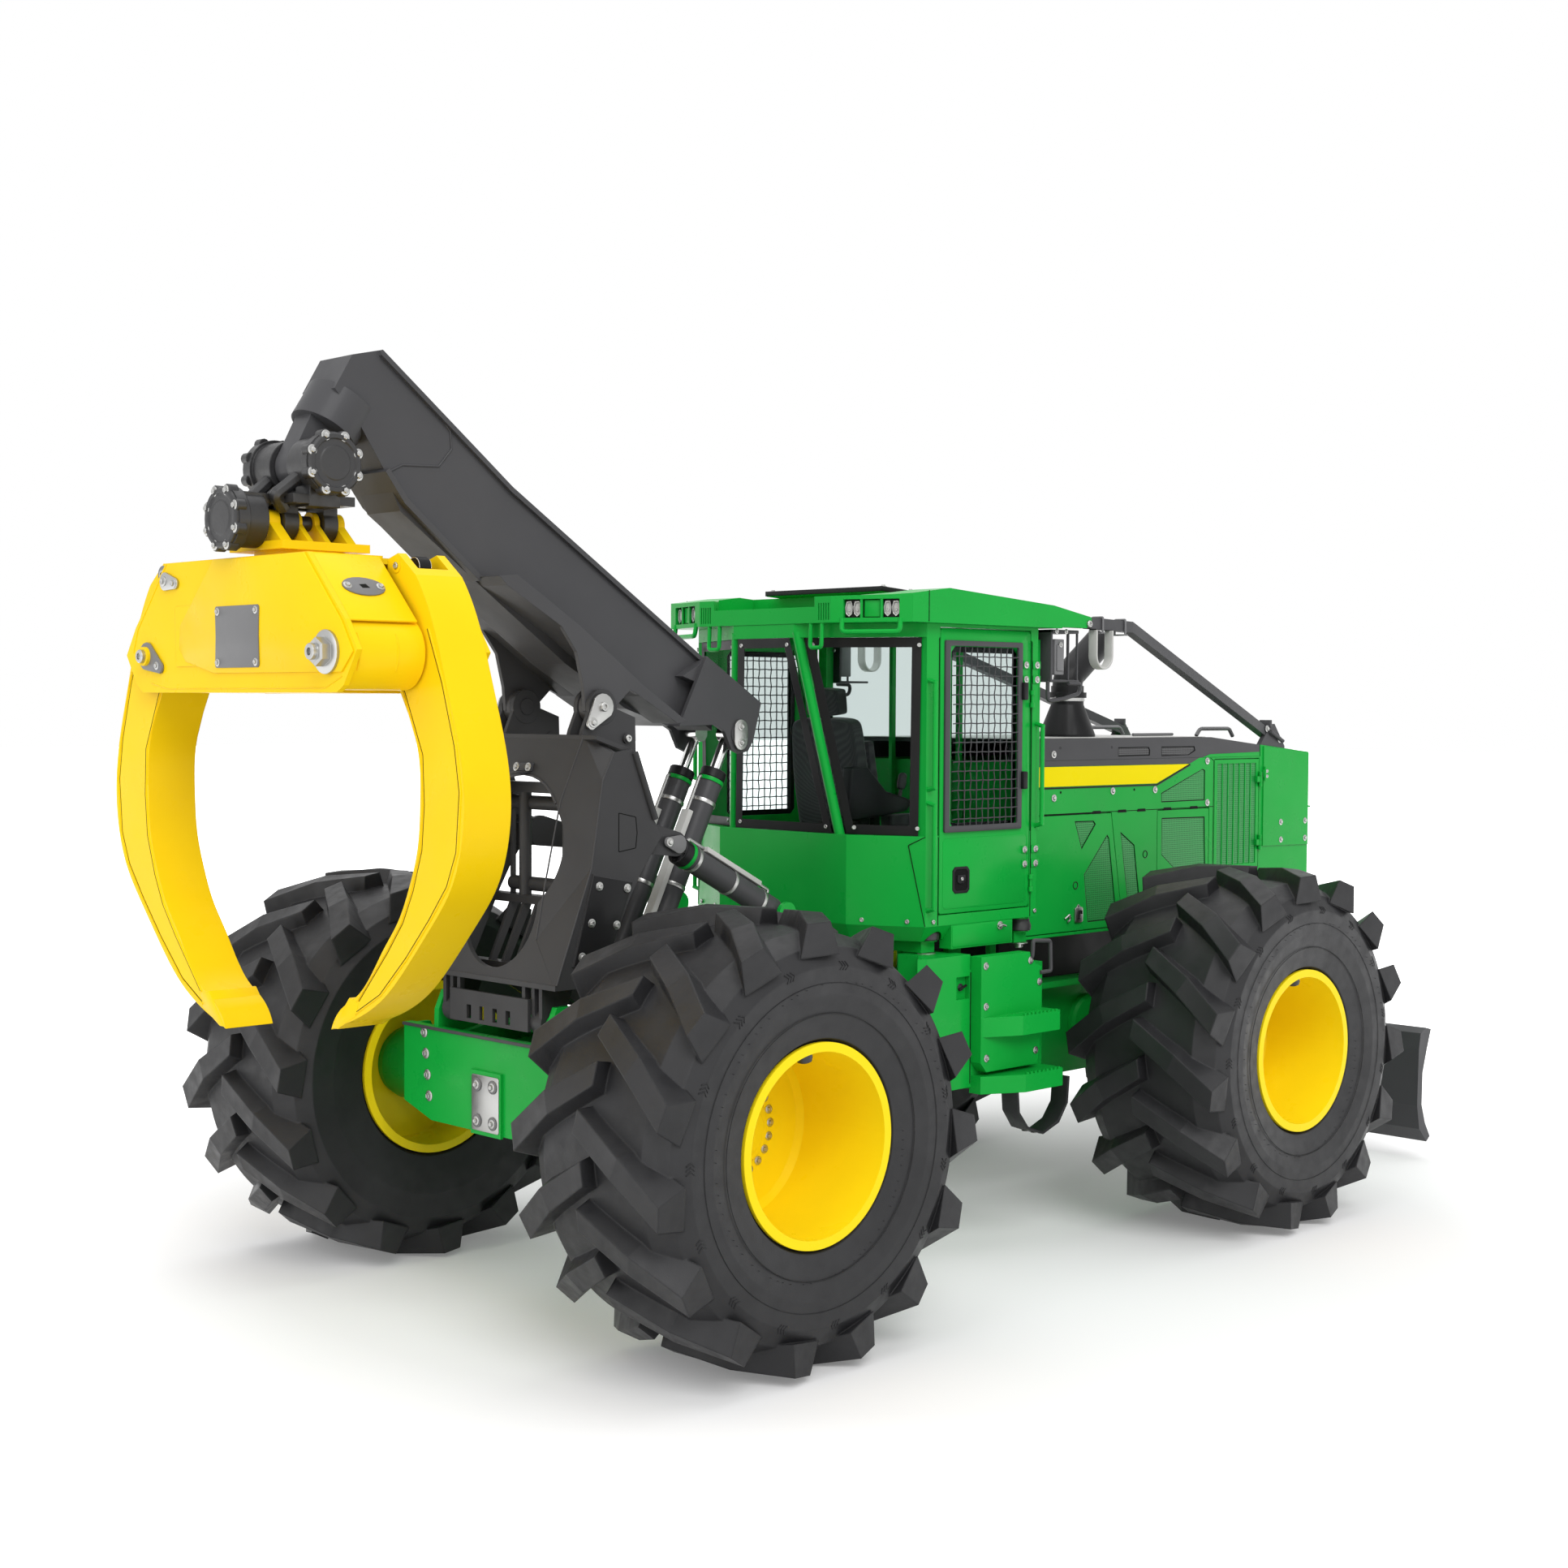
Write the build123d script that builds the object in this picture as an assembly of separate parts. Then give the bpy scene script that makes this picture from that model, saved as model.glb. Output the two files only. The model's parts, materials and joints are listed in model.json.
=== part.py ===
"""Grapple skidder: articulated forestry tractor with arch, boom and log grapple.

Millimetres, +X forward, +Y left, +Z up, tyres standing on z = 0.
The model is laid out from the rear axle line and shifted to its middle on export.
"""
import os
from math import cos, radians, sin, sqrt
from build123d import *

# ---------------------------------------------------------------- driving sizes
WHEELBASE = 3708
TRACK = 2735
CLEAR = 6                      # running gap between moving pieces
SEAT = 0.3                     # air left under a piece that rests on another

TYRE_R = 976                   # over the lug tips
LUG_H = 74
TYRE_HALF = 458
SHOULDER_R = 858
RIM_R = 412
RIM_FLANGE = 437
RIM_HALF = 412
AXLE_Z = TYRE_R
LUGS = 15
# sections of a lug: angle, distance from the middle, half width, top radius, foot's drop, slant
LUG_SECTIONS = ((4, -30, 50, 22, TYRE_R, 0, 8),
                (-5, 230, 52, 26, TYRE_R, 0, 26),
                (-15.5, TYRE_HALF - 2, 58, 40, TYRE_R - 26, 70, 12))
AXLE_TUBE = 165                 # axle housing where the frame holds it
SPIGOT_R = 60                   # axle end in the wheel's bore
SPIGOT_L = 40

# pin radii; every bore is its pin plus SEAT
PIN_ARCH = 34
PIN_BOOM = 40
PIN_TIP = 45
PIN_SIDE = 32
PIN_TONG = 48
PIN_BLADE = 35
PIN_CYL = 30
PIN_SMALL = 22
PIN_STEER = 24
PIN_HINGE = 6

JOINT_X = WHEELBASE / 2        # frame articulation
STEER_DEG = 40
FRAME_HALF = 300
FRAME_TOP = 1300
FRAME_BOT = 800
PLATE = 25

BUMPER_X = -395
BUMPER_HALF = 677
BUMPER_TOP = 1277
BUMPER_BOT = 835

# hitch cover plate and its four holes
HITCH_Z = 965
HITCH_Y = 60
HITCH_DZ = 85
HITCH_HOLE = 13
HITCH_HALF_Y = 115
HITCH_PLATE = 14

ARCH_PIVOT = (-320, 1262)      # x, z
ARCH_HALF = 500
ARCH_TOP = 2680
BOOM_PIVOT = (8, 2808)
BOOM_PIN_Y = 353
BOOM_HALF = 137
TIP_PIVOT = (-1372, 3826)      # fore and aft swing of the crosshead
SIDE_PIVOT_Z = 3587            # side swing of the hanger
HEAD_X = -1385                 # middle of the grapple head
HEAD_HALF_X = 320
TONG_PIN = (725, 3022)         # y, z
TONG_W = 230
TONG_GAP = 45                  # from the head's middle to each tong

BOOM_CYL_TOP = (1005, 2675)
BOOM_CYL_BASE = (362, 1368)
BOOM_CYL_Y = 118
ARCH_CYL_TOP = (352, 2165)
ARCH_CYL_BASE = (1075, 1790)
ARCH_CYL_Y = 400
STEER_FRONT = (2300, 450)      # x, y of the steering cylinder pins
STEER_REAR = (1332, 300)
STEER_Z = 975
BARREL_R = 62
ROD_R = 27

CAB_HALF = 850
CAB_FLOOR = 1708
CAB_TOP = 3235
DOOR_X = (1784, 2499)
DOOR_Z = (1764, 3216)
SILL_Z = 2165
CAB_WALL = 40
MOUNT_X = (1805, 2542)           # cab isolators
MOUNT_Y = 750
CARRIER_Z = (1565, 1625)
GUARD_NX, GUARD_NZ = 5, 9       # openings in the door's guard
REAR_LOW = (1517, 395)          # x, y of the rear window's corner at the sill
REAR_HIGH = (1364, 225)        # and under the roof
ROOF_HALF = 900
REAR_FACE = ((1361, -488), (1521, -ROOF_HALF))   # slanted rear corner of the roof, in plan
TUBE_R = 12                     # grab handles
LAMP_PLACES = (115, 220, 325)    # along each slanted rear face of the roof
LAMP_Z = 3304
LAMP_R = 36
GRABS = ((1698, 2400, 2950), (1698, 1790, 2335), (2548, 2190, 2730))    # x, low and high ends

HOOD_HALF = 600
HOOD_BACK = 2640
HOOD_FRONT = 5590
COWL_TOP = 2642
EXHAUST = (3700, -150, COWL_TOP + SEAT)
EXHAUST_R = 88
BLADE_HALF = 1300
BLADE_PIVOT = (4900, 760)
BLADE_CYL_BASE = (5305, 1115)
BLADE_CYL_TIP = (5660, 510)


# ---------------------------------------------------------------- small makers
def block(x, y, z):
    """Box from three (low, high) pairs."""
    size = (x[1] - x[0], y[1] - y[0], z[1] - z[0])
    return Pos((x[0] + x[1]) / 2, (y[0] + y[1]) / 2, (z[0] + z[1]) / 2) * Box(*size)


def side(points, y0, y1):
    """Outline in x and z, from y0 to y1."""
    face = make_face(Polyline([(x, 0, z) for x, z in points], close=True))
    return extrude(Pos(0, min(y0, y1), 0) * face, amount=abs(y1 - y0), dir=(0, 1, 0))


def front(points, x0, x1):
    """Outline in y and z, from x0 to x1."""
    face = make_face(Polyline([(0, y, z) for y, z in points], close=True))
    return extrude(Pos(min(x0, x1), 0, 0) * face, amount=abs(x1 - x0), dir=(1, 0, 0))


def plan(points, z0, z1):
    """Outline in x and y, from z0 to z1."""
    face = make_face(Polyline([(x, y, 0) for x, y in points], close=True))
    return extrude(Pos(0, 0, z0) * face, amount=z1 - z0, dir=(0, 0, 1))


def rod(a, b, r, bore=0):
    """Round bar from a to b."""
    a, b = Vector(*a), Vector(*b)
    plane = Plane(origin=a, z_dir=b - a)
    shape = extrude(plane * Circle(r), (b - a).length)
    if bore:
        shape -= extrude(plane * Circle(bore), (b - a).length)
    return shape


def ypin(x, z, r, y0, y1, bore=0):
    return rod((x, y0, z), (x, y1, z), r, bore)


def xpin(y, z, r, x0, x1, bore=0):
    return rod((x0, y, z), (x1, y, z), r, bore)


def lug_plate(a, ra, b, rb, y0, y1):
    """Link plate round two points in x and z."""
    a, b = Vector(a[0], 0, a[1]), Vector(b[0], 0, b[1])
    d = (b - a).normalized()
    n = Vector(-d.Z, 0, d.X)
    pts = [a + n * ra, b + n * rb, b - n * rb, a - n * ra]
    shape = side([(p.X, p.Z) for p in pts], y0, y1)
    shape += ypin(a.X, a.Z, ra, y0, y1)
    shape += ypin(b.X, b.Z, rb, y0, y1)
    return shape


def grab(points, r):
    """Handle of straight eight-sided bars between the points."""
    shape = None
    for a, b in zip(points, points[1:]):
        a, b = Vector(*a), Vector(*b)
        d = (b - a).normalized() * (r * 0.7)
        bar = extrude(Plane(origin=a - d, z_dir=b - a) * RegularPolygon(r, 8), (b - a).length + 2 * d.length)
        shape = bar if shape is None else shape + bar
    return shape


def tube_path(points, r, bend):
    """Round tube along a line with rounded corners."""
    wire = FilletPolyline(*points, radius=bend)
    start = Plane(origin=wire @ 0, z_dir=wire % 0)
    return sweep(start * Circle(r), path=wire)


def both(shape):
    return shape + mirror(shape, Plane.XZ)


def flip(shape):
    return mirror(shape, Plane.XZ)


def join(shapes):
    out = shapes[0]
    for s in shapes[1:]:
        out += s
    return out


# ---------------------------------------------------------------- wheels
def tyre():
    """Tyre on the origin, axle along Y, outer side at -Y."""
    w = TYRE_HALF
    carcass = TYRE_R - LUG_H
    section = [(RIM_R + SEAT, -RIM_HALF + 40), (RIM_FLANGE + 6, -RIM_HALF + 26), (RIM_FLANGE + 16, -RIM_HALF + 2),
               (640, -w + 10), (760, -w + 6),
               (carcass - 62, -w + 44), (carcass - 6, -w + 150), (carcass, 0)]
    full = section + [(r, -y) for r, y in reversed(section[:-1])]
    inner = [(RIM_R + SEAT, RIM_HALF - 90), (660, w - 130), (760, w - 130), (carcass - 70, 0),
             (760, -w + 130), (660, -w + 130), (RIM_R + SEAT, -RIM_HALF + 90)]
    face = make_face(Polyline([(r, y, 0) for r, y in full + inner], close=True))
    body = revolve(face, Axis.Y)
    pitch = 360 / LUGS
    lugs = []
    for i in range(LUGS):
        for s in (-1, 1):
            lugs.append(lug_bar(s, i * pitch + (pitch / 2 if s > 0 else 0)))
    return body.fuse(*lugs)


def lug_bar(s, turn):
    """One lug, lofted through its cross sections, on the side s of the middle."""
    faces = []
    low = TYRE_R - LUG_H - 26
    for ang, y, half, flare, top, drop, knee in LUG_SECTIONS:
        a = radians(ang + turn)
        radial = Vector(sin(a), 0, cos(a))
        tangent = Vector(cos(a), 0, -sin(a))
        across = tangent * cos(radians(knee)) - Vector(0, s, 0) * sin(radians(knee))
        base = Vector(0, -s * y, 0)
        foot = radial * (low - drop)
        crown = radial * sqrt(top * top - half * half)
        pts = [base + foot - across * (half + flare), base + crown - across * half,
               base + crown + across * half, base + foot + across * (half + flare)]
        faces.append(make_face(Polyline(pts, close=True)))
    return loft(faces, ruled=True)


def rim():
    """Deep dished rim with hub, axle along Y, outer side at -Y."""
    h = RIM_HALF
    disc = 110                              # disc sits inboard of the middle
    pts = [(RIM_FLANGE, -h), (RIM_FLANGE, -h + 22), (RIM_R, -h + 34), (RIM_R, h - 34), (RIM_FLANGE, h - 22),
           (RIM_FLANGE, h), (RIM_R - 16, h), (RIM_R - 16, disc + 24), (150, disc + 24), (150, disc),
           (RIM_R - 40, disc), (RIM_R - 16, disc - 30), (RIM_R - 16, -h)]
    shape = revolve(make_face(Polyline([(r, y, 0) for r, y in pts], close=True)), Axis.Y)
    hub = [(0, disc - 70), (95, disc - 70), (120, disc - 50), (150, disc - 46), (190, disc), (190, disc + 24), (0, disc + 24)]
    shape += revolve(make_face(Polyline([(r, y, 0) for r, y in hub], close=True)), Axis.Y)
    shape -= ypin(0, 0, SPIGOT_R + SEAT, disc + 24 - SPIGOT_L - CLEAR, disc + 30)
    return shape


WHEELS = [("rl", 0, 1), ("rr", 0, -1), ("fl", WHEELBASE, 1), ("fr", WHEELBASE, -1)]


def axle(x):
    """Straight axle housing with planetary ends, for the frame at x."""
    hub_in = TRACK / 2 - RIM_HALF + 30
    face = TRACK / 2 - 110 - 24             # back of the wheel disc
    half = [(0, 0), (0, 250), (190, 250), (230, AXLE_TUBE), (330, AXLE_TUBE), (345, 150), (hub_in, 135), (hub_in, 190),
            (face - 60, 190), (face - CLEAR, 178), (face - CLEAR, SPIGOT_R), (face + SPIGOT_L, SPIGOT_R), (face + SPIGOT_L, 0)]
    pts = [(x0, y0) for y0, x0 in half]
    right = revolve(make_face(Polyline([(r, -y, 0) for r, y in pts], close=True)), Axis.Y)
    return Pos(x, 0, AXLE_Z) * both(right)


# ---------------------------------------------------------------- frames
def rear_frame():
    plate = [(BUMPER_X + 30, FRAME_BOT + 60), (BUMPER_X + 30, FRAME_TOP - 40), (-150, FRAME_TOP), (1010, FRAME_TOP),
             (1215, 1180), (1215, 760), (1100, 700), (700, 700), (-100, 760)]
    shape = both(side(plate, -FRAME_HALF, -FRAME_HALF + 40))
    shape -= ypin(0, AXLE_Z, AXLE_TUBE + SEAT, -400, 400)
    shape += block((BUMPER_X + 40, BUMPER_X + 75), (-FRAME_HALF, FRAME_HALF), (FRAME_BOT + 70, FRAME_TOP - 50))
    shape += block((-150, 1010), (-FRAME_HALF, FRAME_HALF), (FRAME_TOP - 25, FRAME_TOP))
    shape += block((1180, 1215), (-FRAME_HALF, FRAME_HALF), (740, 1180))
    bumper = front([(-BUMPER_HALF, BUMPER_TOP), (BUMPER_HALF, BUMPER_TOP), (BUMPER_HALF, BUMPER_BOT + 60),
                    (450, BUMPER_BOT - 11), (-450, BUMPER_BOT - 11), (-BUMPER_HALF, BUMPER_BOT + 60)],
                   BUMPER_X, BUMPER_X + 45)
    plate_x = BUMPER_X - HITCH_PLATE
    shape += bumper + block((plate_x, BUMPER_X + 1), (-HITCH_HALF_Y, HITCH_HALF_Y), (HITCH_Z - 150, HITCH_Z + 150))
    for y in (-HITCH_Y, HITCH_Y):
        for z in (HITCH_Z - HITCH_DZ, HITCH_Z + HITCH_DZ):
            shape -= xpin(y, z, HITCH_HOLE, plate_x - 5, BUMPER_X + 50)
    wing = side([(BUMPER_X + 20, BUMPER_BOT + 70), (BUMPER_X + 20, BUMPER_TOP), (BUMPER_X + 110, BUMPER_TOP),
                 (BUMPER_X + 210, 1080), (BUMPER_X + 110, BUMPER_BOT + 70)], -BUMPER_HALF + 40, -BUMPER_HALF + 65)
    shape += both(wing)
    shape += both(block((BUMPER_X + 20, BUMPER_X + 100), (-BUMPER_HALF + 45, -FRAME_HALF + 10), (1100, 1135)))
    # arch lugs, outer pair on the frame
    lug = side([(ARCH_PIVOT[0] - 66, BUMPER_TOP - 120), (ARCH_PIVOT[0] - 60, ARCH_PIVOT[1] + 100),
                (ARCH_PIVOT[0] - 20, ARCH_PIVOT[1] + 190), (ARCH_PIVOT[0] + 60, ARCH_PIVOT[1] + 190),
                (ARCH_PIVOT[0] + 190, FRAME_TOP - 60), (ARCH_PIVOT[0] + 190, FRAME_TOP - 130)], -445, -410)
    shape += both(lug)
    shape += both(block((ARCH_PIVOT[0] - 50, ARCH_PIVOT[0] + 190), (-446, -FRAME_HALF + 10), (FRAME_TOP - 160, FRAME_TOP - 130)))
    shape += both(ypin(ARCH_PIVOT[0], ARCH_PIVOT[1] + 110, PIN_ARCH, -450, -300))
    # arch cylinder clevises
    post = [(ARCH_CYL_BASE[0] - 170, 1250), (ARCH_CYL_BASE[0] - 55, ARCH_CYL_BASE[1]), (ARCH_CYL_BASE[0] + 50, ARCH_CYL_BASE[1]),
            (ARCH_CYL_BASE[0] + 120, 1250), (ARCH_CYL_BASE[0] + 120, 1100), (ARCH_CYL_BASE[0] - 170, 1100)]
    for y in (ARCH_CYL_Y - 75, ARCH_CYL_Y + 75):
        shape += both(side(post, y - 12, y + 12) + ypin(*ARCH_CYL_BASE, 58, y - 12, y + 12))
    shape += both(ypin(*ARCH_CYL_BASE, PIN_CYL, ARCH_CYL_Y - 87, ARCH_CYL_Y + 87))
    shape += both(block((ARCH_CYL_BASE[0] - 160, ARCH_CYL_BASE[0] + 110), (FRAME_HALF - 20, ARCH_CYL_Y + 80), (1100, 1130)))
    # articulation ears
    for z in (1180, 760):
        shape += plan([(1200, -FRAME_HALF), (1330, -FRAME_HALF), (JOINT_X, -130), (JOINT_X, 130), (1330, FRAME_HALF),
                       (1200, FRAME_HALF)], z - 45, z)
        shape += Pos(JOINT_X, 0, z - 22.5) * Cylinder(130, 45)
    shape += Pos(JOINT_X, 0, 970) * Cylinder(55, 600)
    # steering cylinder anchors
    px, py = STEER_REAR
    for z in (STEER_Z - 60, STEER_Z + 60):
        shape += both(block((1180, px + 30), (-py - 45, -py + 45), (z - 14, z + 14)))
        shape += both(Pos(px + 30, -py, z) * Cylinder(45, 28))
    for z in (STEER_Z - 60, STEER_Z + 60):
        shape += both(Pos(px, -py, z) * Cylinder(26, 36))
    return shape


def front_frame():
    ear = 1135
    plate = [(2150, 780), (2150, 1140), (2600, 1260), (4700, 1260), (5250, 1180), (5250, 760), (4300, 700), (2700, 700)]
    shape = both(side(plate, -FRAME_HALF, -FRAME_HALF + 40))
    shape += block((2150, 2185), (-FRAME_HALF, FRAME_HALF), (790, 1130))
    shape -= ypin(WHEELBASE, AXLE_Z, AXLE_TUBE + SEAT, -400, 400)
    shape += block((5215, 5250), (-FRAME_HALF, FRAME_HALF), (760, 1180))
    for z0, z1 in ((ear - 45 - CLEAR, ear - CLEAR), (760 + CLEAR, 805 + CLEAR)):
        shape += plan([(2150, -FRAME_HALF), (2000, -FRAME_HALF + 20), (JOINT_X, -130), (JOINT_X, 130),
                       (2000, FRAME_HALF - 20), (2150, FRAME_HALF)], z0, z1)
        shape += Pos(JOINT_X, 0, (z0 + z1) / 2) * Cylinder(130, z1 - z0)
    shape -= Pos(JOINT_X, 0, 970) * Cylinder(55 + SEAT, 700)
    shape += block((2560, 2600), (-FRAME_HALF, FRAME_HALF), (1190, 1250))
    # cab carriers: two cross beams on rails, with isolators at their ends
    low, high = CARRIER_Z
    shape += both(block((MOUNT_X[0] - 50, MOUNT_X[1] + 50), (-FRAME_HALF, -FRAME_HALF + 50), CARRIER_Z))
    for x in MOUNT_X:
        shape += block((x - 50, x + 50), (-MOUNT_Y - 10, MOUNT_Y + 10), CARRIER_Z)
        shape += both(Pos(x, -MOUNT_Y, (high - 1 + CAB_FLOOR - SEAT) / 2) * Cylinder(55, CAB_FLOOR - SEAT - high + 1))
    for x in (2215, MOUNT_X[1]):
        shape += both(block((x - 50, x + 50), (-FRAME_HALF, -FRAME_HALF + 40), (1100, low + 1)))
    # engine rails under the hood
    shape += both(block((2800, 5200), (-420, -FRAME_HALF + 10), (1225, 1260)))
    # steering anchors
    px, py = STEER_FRONT
    for z in (STEER_Z - 74, STEER_Z + 74):
        shape += both(block((px - 50, px + 50), (-py - 45, -FRAME_HALF + 10), (z - 14, z + 14)))
    shape += both(Pos(px, -py, STEER_Z) * Cylinder(PIN_STEER, 176))
    # blade arm ears
    for y in (FRAME_HALF + 20, FRAME_HALF + 110):
        shape += both(lug_plate(BLADE_PIVOT, 75, (BLADE_PIVOT[0] - 40, 860), 80, y - 14, y + 14))
    shape += both(ypin(*BLADE_PIVOT, PIN_BLADE, FRAME_HALF - 10, FRAME_HALF + 124))
    shape += both(block((4780, 4930), (FRAME_HALF - 5, FRAME_HALF + 124), (860, 900)))
    for y in (-135, 135):
        for w in (-50, 50):
            shape += block((5240, 5345), (y + w - 10, y + w + 10), (1060, 1180))
        shape += ypin(*BLADE_CYL_BASE, PIN_SMALL, y - 60, y + 60)
    return shape


# ---------------------------------------------------------------- arch and winch
def plane_x(z):
    """Rear plate of the arch: x at height z."""
    return BUMPER_X + (z - 1536) * 0.223


def arch():
    t = 22
    back = [(plane_x(1536), 1536), (plane_x(ARCH_TOP), ARCH_TOP), (plane_x(ARCH_TOP) + t, ARCH_TOP), (plane_x(1536) + t, 1536)]
    shape = side(back, -385, 385)
    outline = front([(-500, 1536), (-298, 1750), (-292, 1990), (-300, 2373), (-385, ARCH_TOP), (385, ARCH_TOP),
                     (300, 2373), (292, 1990), (298, 1750), (500, 1536)], -600, 600)
    shape = side(back, -500, 500) & outline
    hole = xpin(0, 2140, 352, -600, 600) + xpin(0, 1868, 268, -600, 600)
    # side plates with the shaped front edge
    wall = [(-392, 1536), (-187, 2079), (-123, 2474), (-60, 2600), (57, 2616), (123, 2420), (187, 2286), (236, 2209),
            (109, 2045), (36, 1918), (-133, 1576), (-133, 1536)]
    sides = side(wall, -ARCH_HALF, -ARCH_HALF + t)
    # bevel between the rear plate and each side plate
    facets = [((-395, -500, 1536), (-345, -298, 1750), (-187, -500, 2079)),
              ((-345, -298, 1750), (-292, -292, 1990), (-187, -500, 2079)),
              ((-292, -292, 1990), (-208, -300, 2373), (-187, -500, 2079)),
              ((-208, -300, 2373), (-123, -500, 2474), (-187, -500, 2079)),
              ((-208, -300, 2373), (-140, -385, ARCH_TOP), (-123, -500, 2474)),
              ((-140, -385, ARCH_TOP), (-60, -500, 2600), (-123, -500, 2474))]
    for tri in facets:
        sides += wedge(tri, t)
    # top deck and the lugs that carry the boom
    shape += both(sides)
    shape -= hole
    deck = side([(-145, 2660), (-145, ARCH_TOP), (60, ARCH_TOP - 60), (60, ARCH_TOP - 84)], -480, 480)
    shape += deck
    lug = [(-150, 2560), (-110, 2700), (-70, 2790), (-30, 2885), (45, 2885), (90, 2800), (205, 2760), (210, 2600), (150, 2560), (60, 2540)]
    for y in (BOOM_PIN_Y - 22, BOOM_PIN_Y - 112):
        shape += both(side(lug, y - 11, y + 11))
    for y in (BOOM_PIN_Y - 22, BOOM_PIN_Y - 112):
        shape += both(ypin(*BOOM_PIVOT, 82, y - 13, y + 13))
    shape += both(ypin(*BOOM_PIVOT, PIN_BOOM, BOOM_PIN_Y - 130, BOOM_PIN_Y))
    shape += both(ypin(150, 2662, 24, BOOM_PIN_Y - 125, BOOM_PIN_Y))
    # inner uprights, lower box and feet
    shape += side([(-395, 1536), (-395, 1560), (-133, 1560), (-133, 1536)], -ARCH_HALF, ARCH_HALF)
    foot = [(-375, 1560), (ARCH_PIVOT[0] - 55, ARCH_PIVOT[1] + 110), (ARCH_PIVOT[0], ARCH_PIVOT[1] + 52),
            (ARCH_PIVOT[0] + 60, ARCH_PIVOT[1] + 110), (-180, 1560)]
    for y in (-380, -325):
        shape += both(side(foot, y, y + 24))
    shape -= both(ypin(ARCH_PIVOT[0], ARCH_PIVOT[1] + 110, PIN_ARCH + SEAT, -460, -290))
    shape += both(ypin(ARCH_PIVOT[0], ARCH_PIVOT[1] + 110, 62, -380, -301, PIN_ARCH + SEAT))
    # heels that carry the boom cylinders
    heel = [(-220, 1536), (-220, 1560), (-133, 1560), (BOOM_CYL_BASE[0] + 20, BOOM_CYL_BASE[1] + 62),
            (BOOM_CYL_BASE[0] + 20, BOOM_CYL_BASE[1] - 50), (0, 1400)]
    for y in (BOOM_CYL_Y - 75, BOOM_CYL_Y + 75):
        shape += both(side(heel, y - 12, y + 12) + ypin(*BOOM_CYL_BASE, 60, y - 12, y + 12))
    shape += both(ypin(*BOOM_CYL_BASE, PIN_CYL, BOOM_CYL_Y - 87, BOOM_CYL_Y + 87))
    # slotted guard under the rear plate
    guard = block((-394, -376), (-300, 300), (1330, 1480))
    for y in (-150, -50, 50, 150):
        guard -= block((-420, -350), (y - 17, y + 17), (1348, 1412))
    shape += guard
    for y in (-250, 250):
        shape += block((-380, -352), (y - 12, y + 12), (1340, 1545))
    # cylinder lugs on the front edge
    for y in (-ARCH_CYL_Y - 62, -ARCH_CYL_Y + 62):
        shape += both(lug_plate(ARCH_CYL_TOP, 58, (170, 2200), 75, y - 12, y + 12))
    shape += both(block((80, 160), (-478, -ARCH_CYL_Y + 70), (2130, 2240)))
    shape += both(ypin(*ARCH_CYL_TOP, 34, -ARCH_CYL_Y - 84, -ARCH_CYL_Y - 73))
    # bolted cover on each side
    cover = side([(-181, 2052), (52, 2008), (-110, 1600), (-300, 1640)], -ARCH_HALF - 8, -ARCH_HALF + 1)
    shape += both(cover)
    shape += both(rod((66, -ARCH_HALF - 4, 2600), (190, -ARCH_HALF - 4, 2290), 16))
    return shape


def wedge(tri, t):
    """Flat triangular plate, t thick along X."""
    face = make_face(Polyline([Vector(*p) for p in tri], close=True))
    return extrude(face, amount=t, dir=(1, 0, 0))


def fairlead():
    """Roller frame hung inside the arch opening."""
    x = -50
    wide = ARCH_HALF - 22 - SEAT
    shape = block((x - 30, x + 40), (-wide, wide), (2400, 2450))
    shape += block((x - 30, x + 40), (-wide, wide), (1870, 1910))
    shape += both(block((x + 20, x + 40), (-310, -290), (1905, 2405)))
    for y in (-165, 165):
        shape += rod((x, y, 1905), (x, y, 2405), 30)
    for z in (2350, 1960):
        shape += ypin(x + 30, z, 34, -300, 300)
    bar = [(-205, 1590), (-165, 1590), (x + 30, 1885), (x - 20, 1885)]
    for k in range(6):
        y = -250 + 100 * k
        shape += side(bar, y - 9, y + 9)
    shape += block((-215, -150), (-wide, wide), (1560 + SEAT, 1600))
    return shape


def winch():
    """Drum winch on the rear frame, ahead of the arch."""
    x, z = 780, 1560
    shape = block((520, 1000), (-290, 290), (FRAME_TOP + SEAT, FRAME_TOP + 40))
    shape += both(side([(560, FRAME_TOP + 30), (1000, FRAME_TOP + 30), (960, 1740), (640, 1740)], -288, -262))
    shape += ypin(x, z, 120, -263, 263)
    shape += both(ypin(x, z, 195, -258, -236))
    return shape


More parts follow.
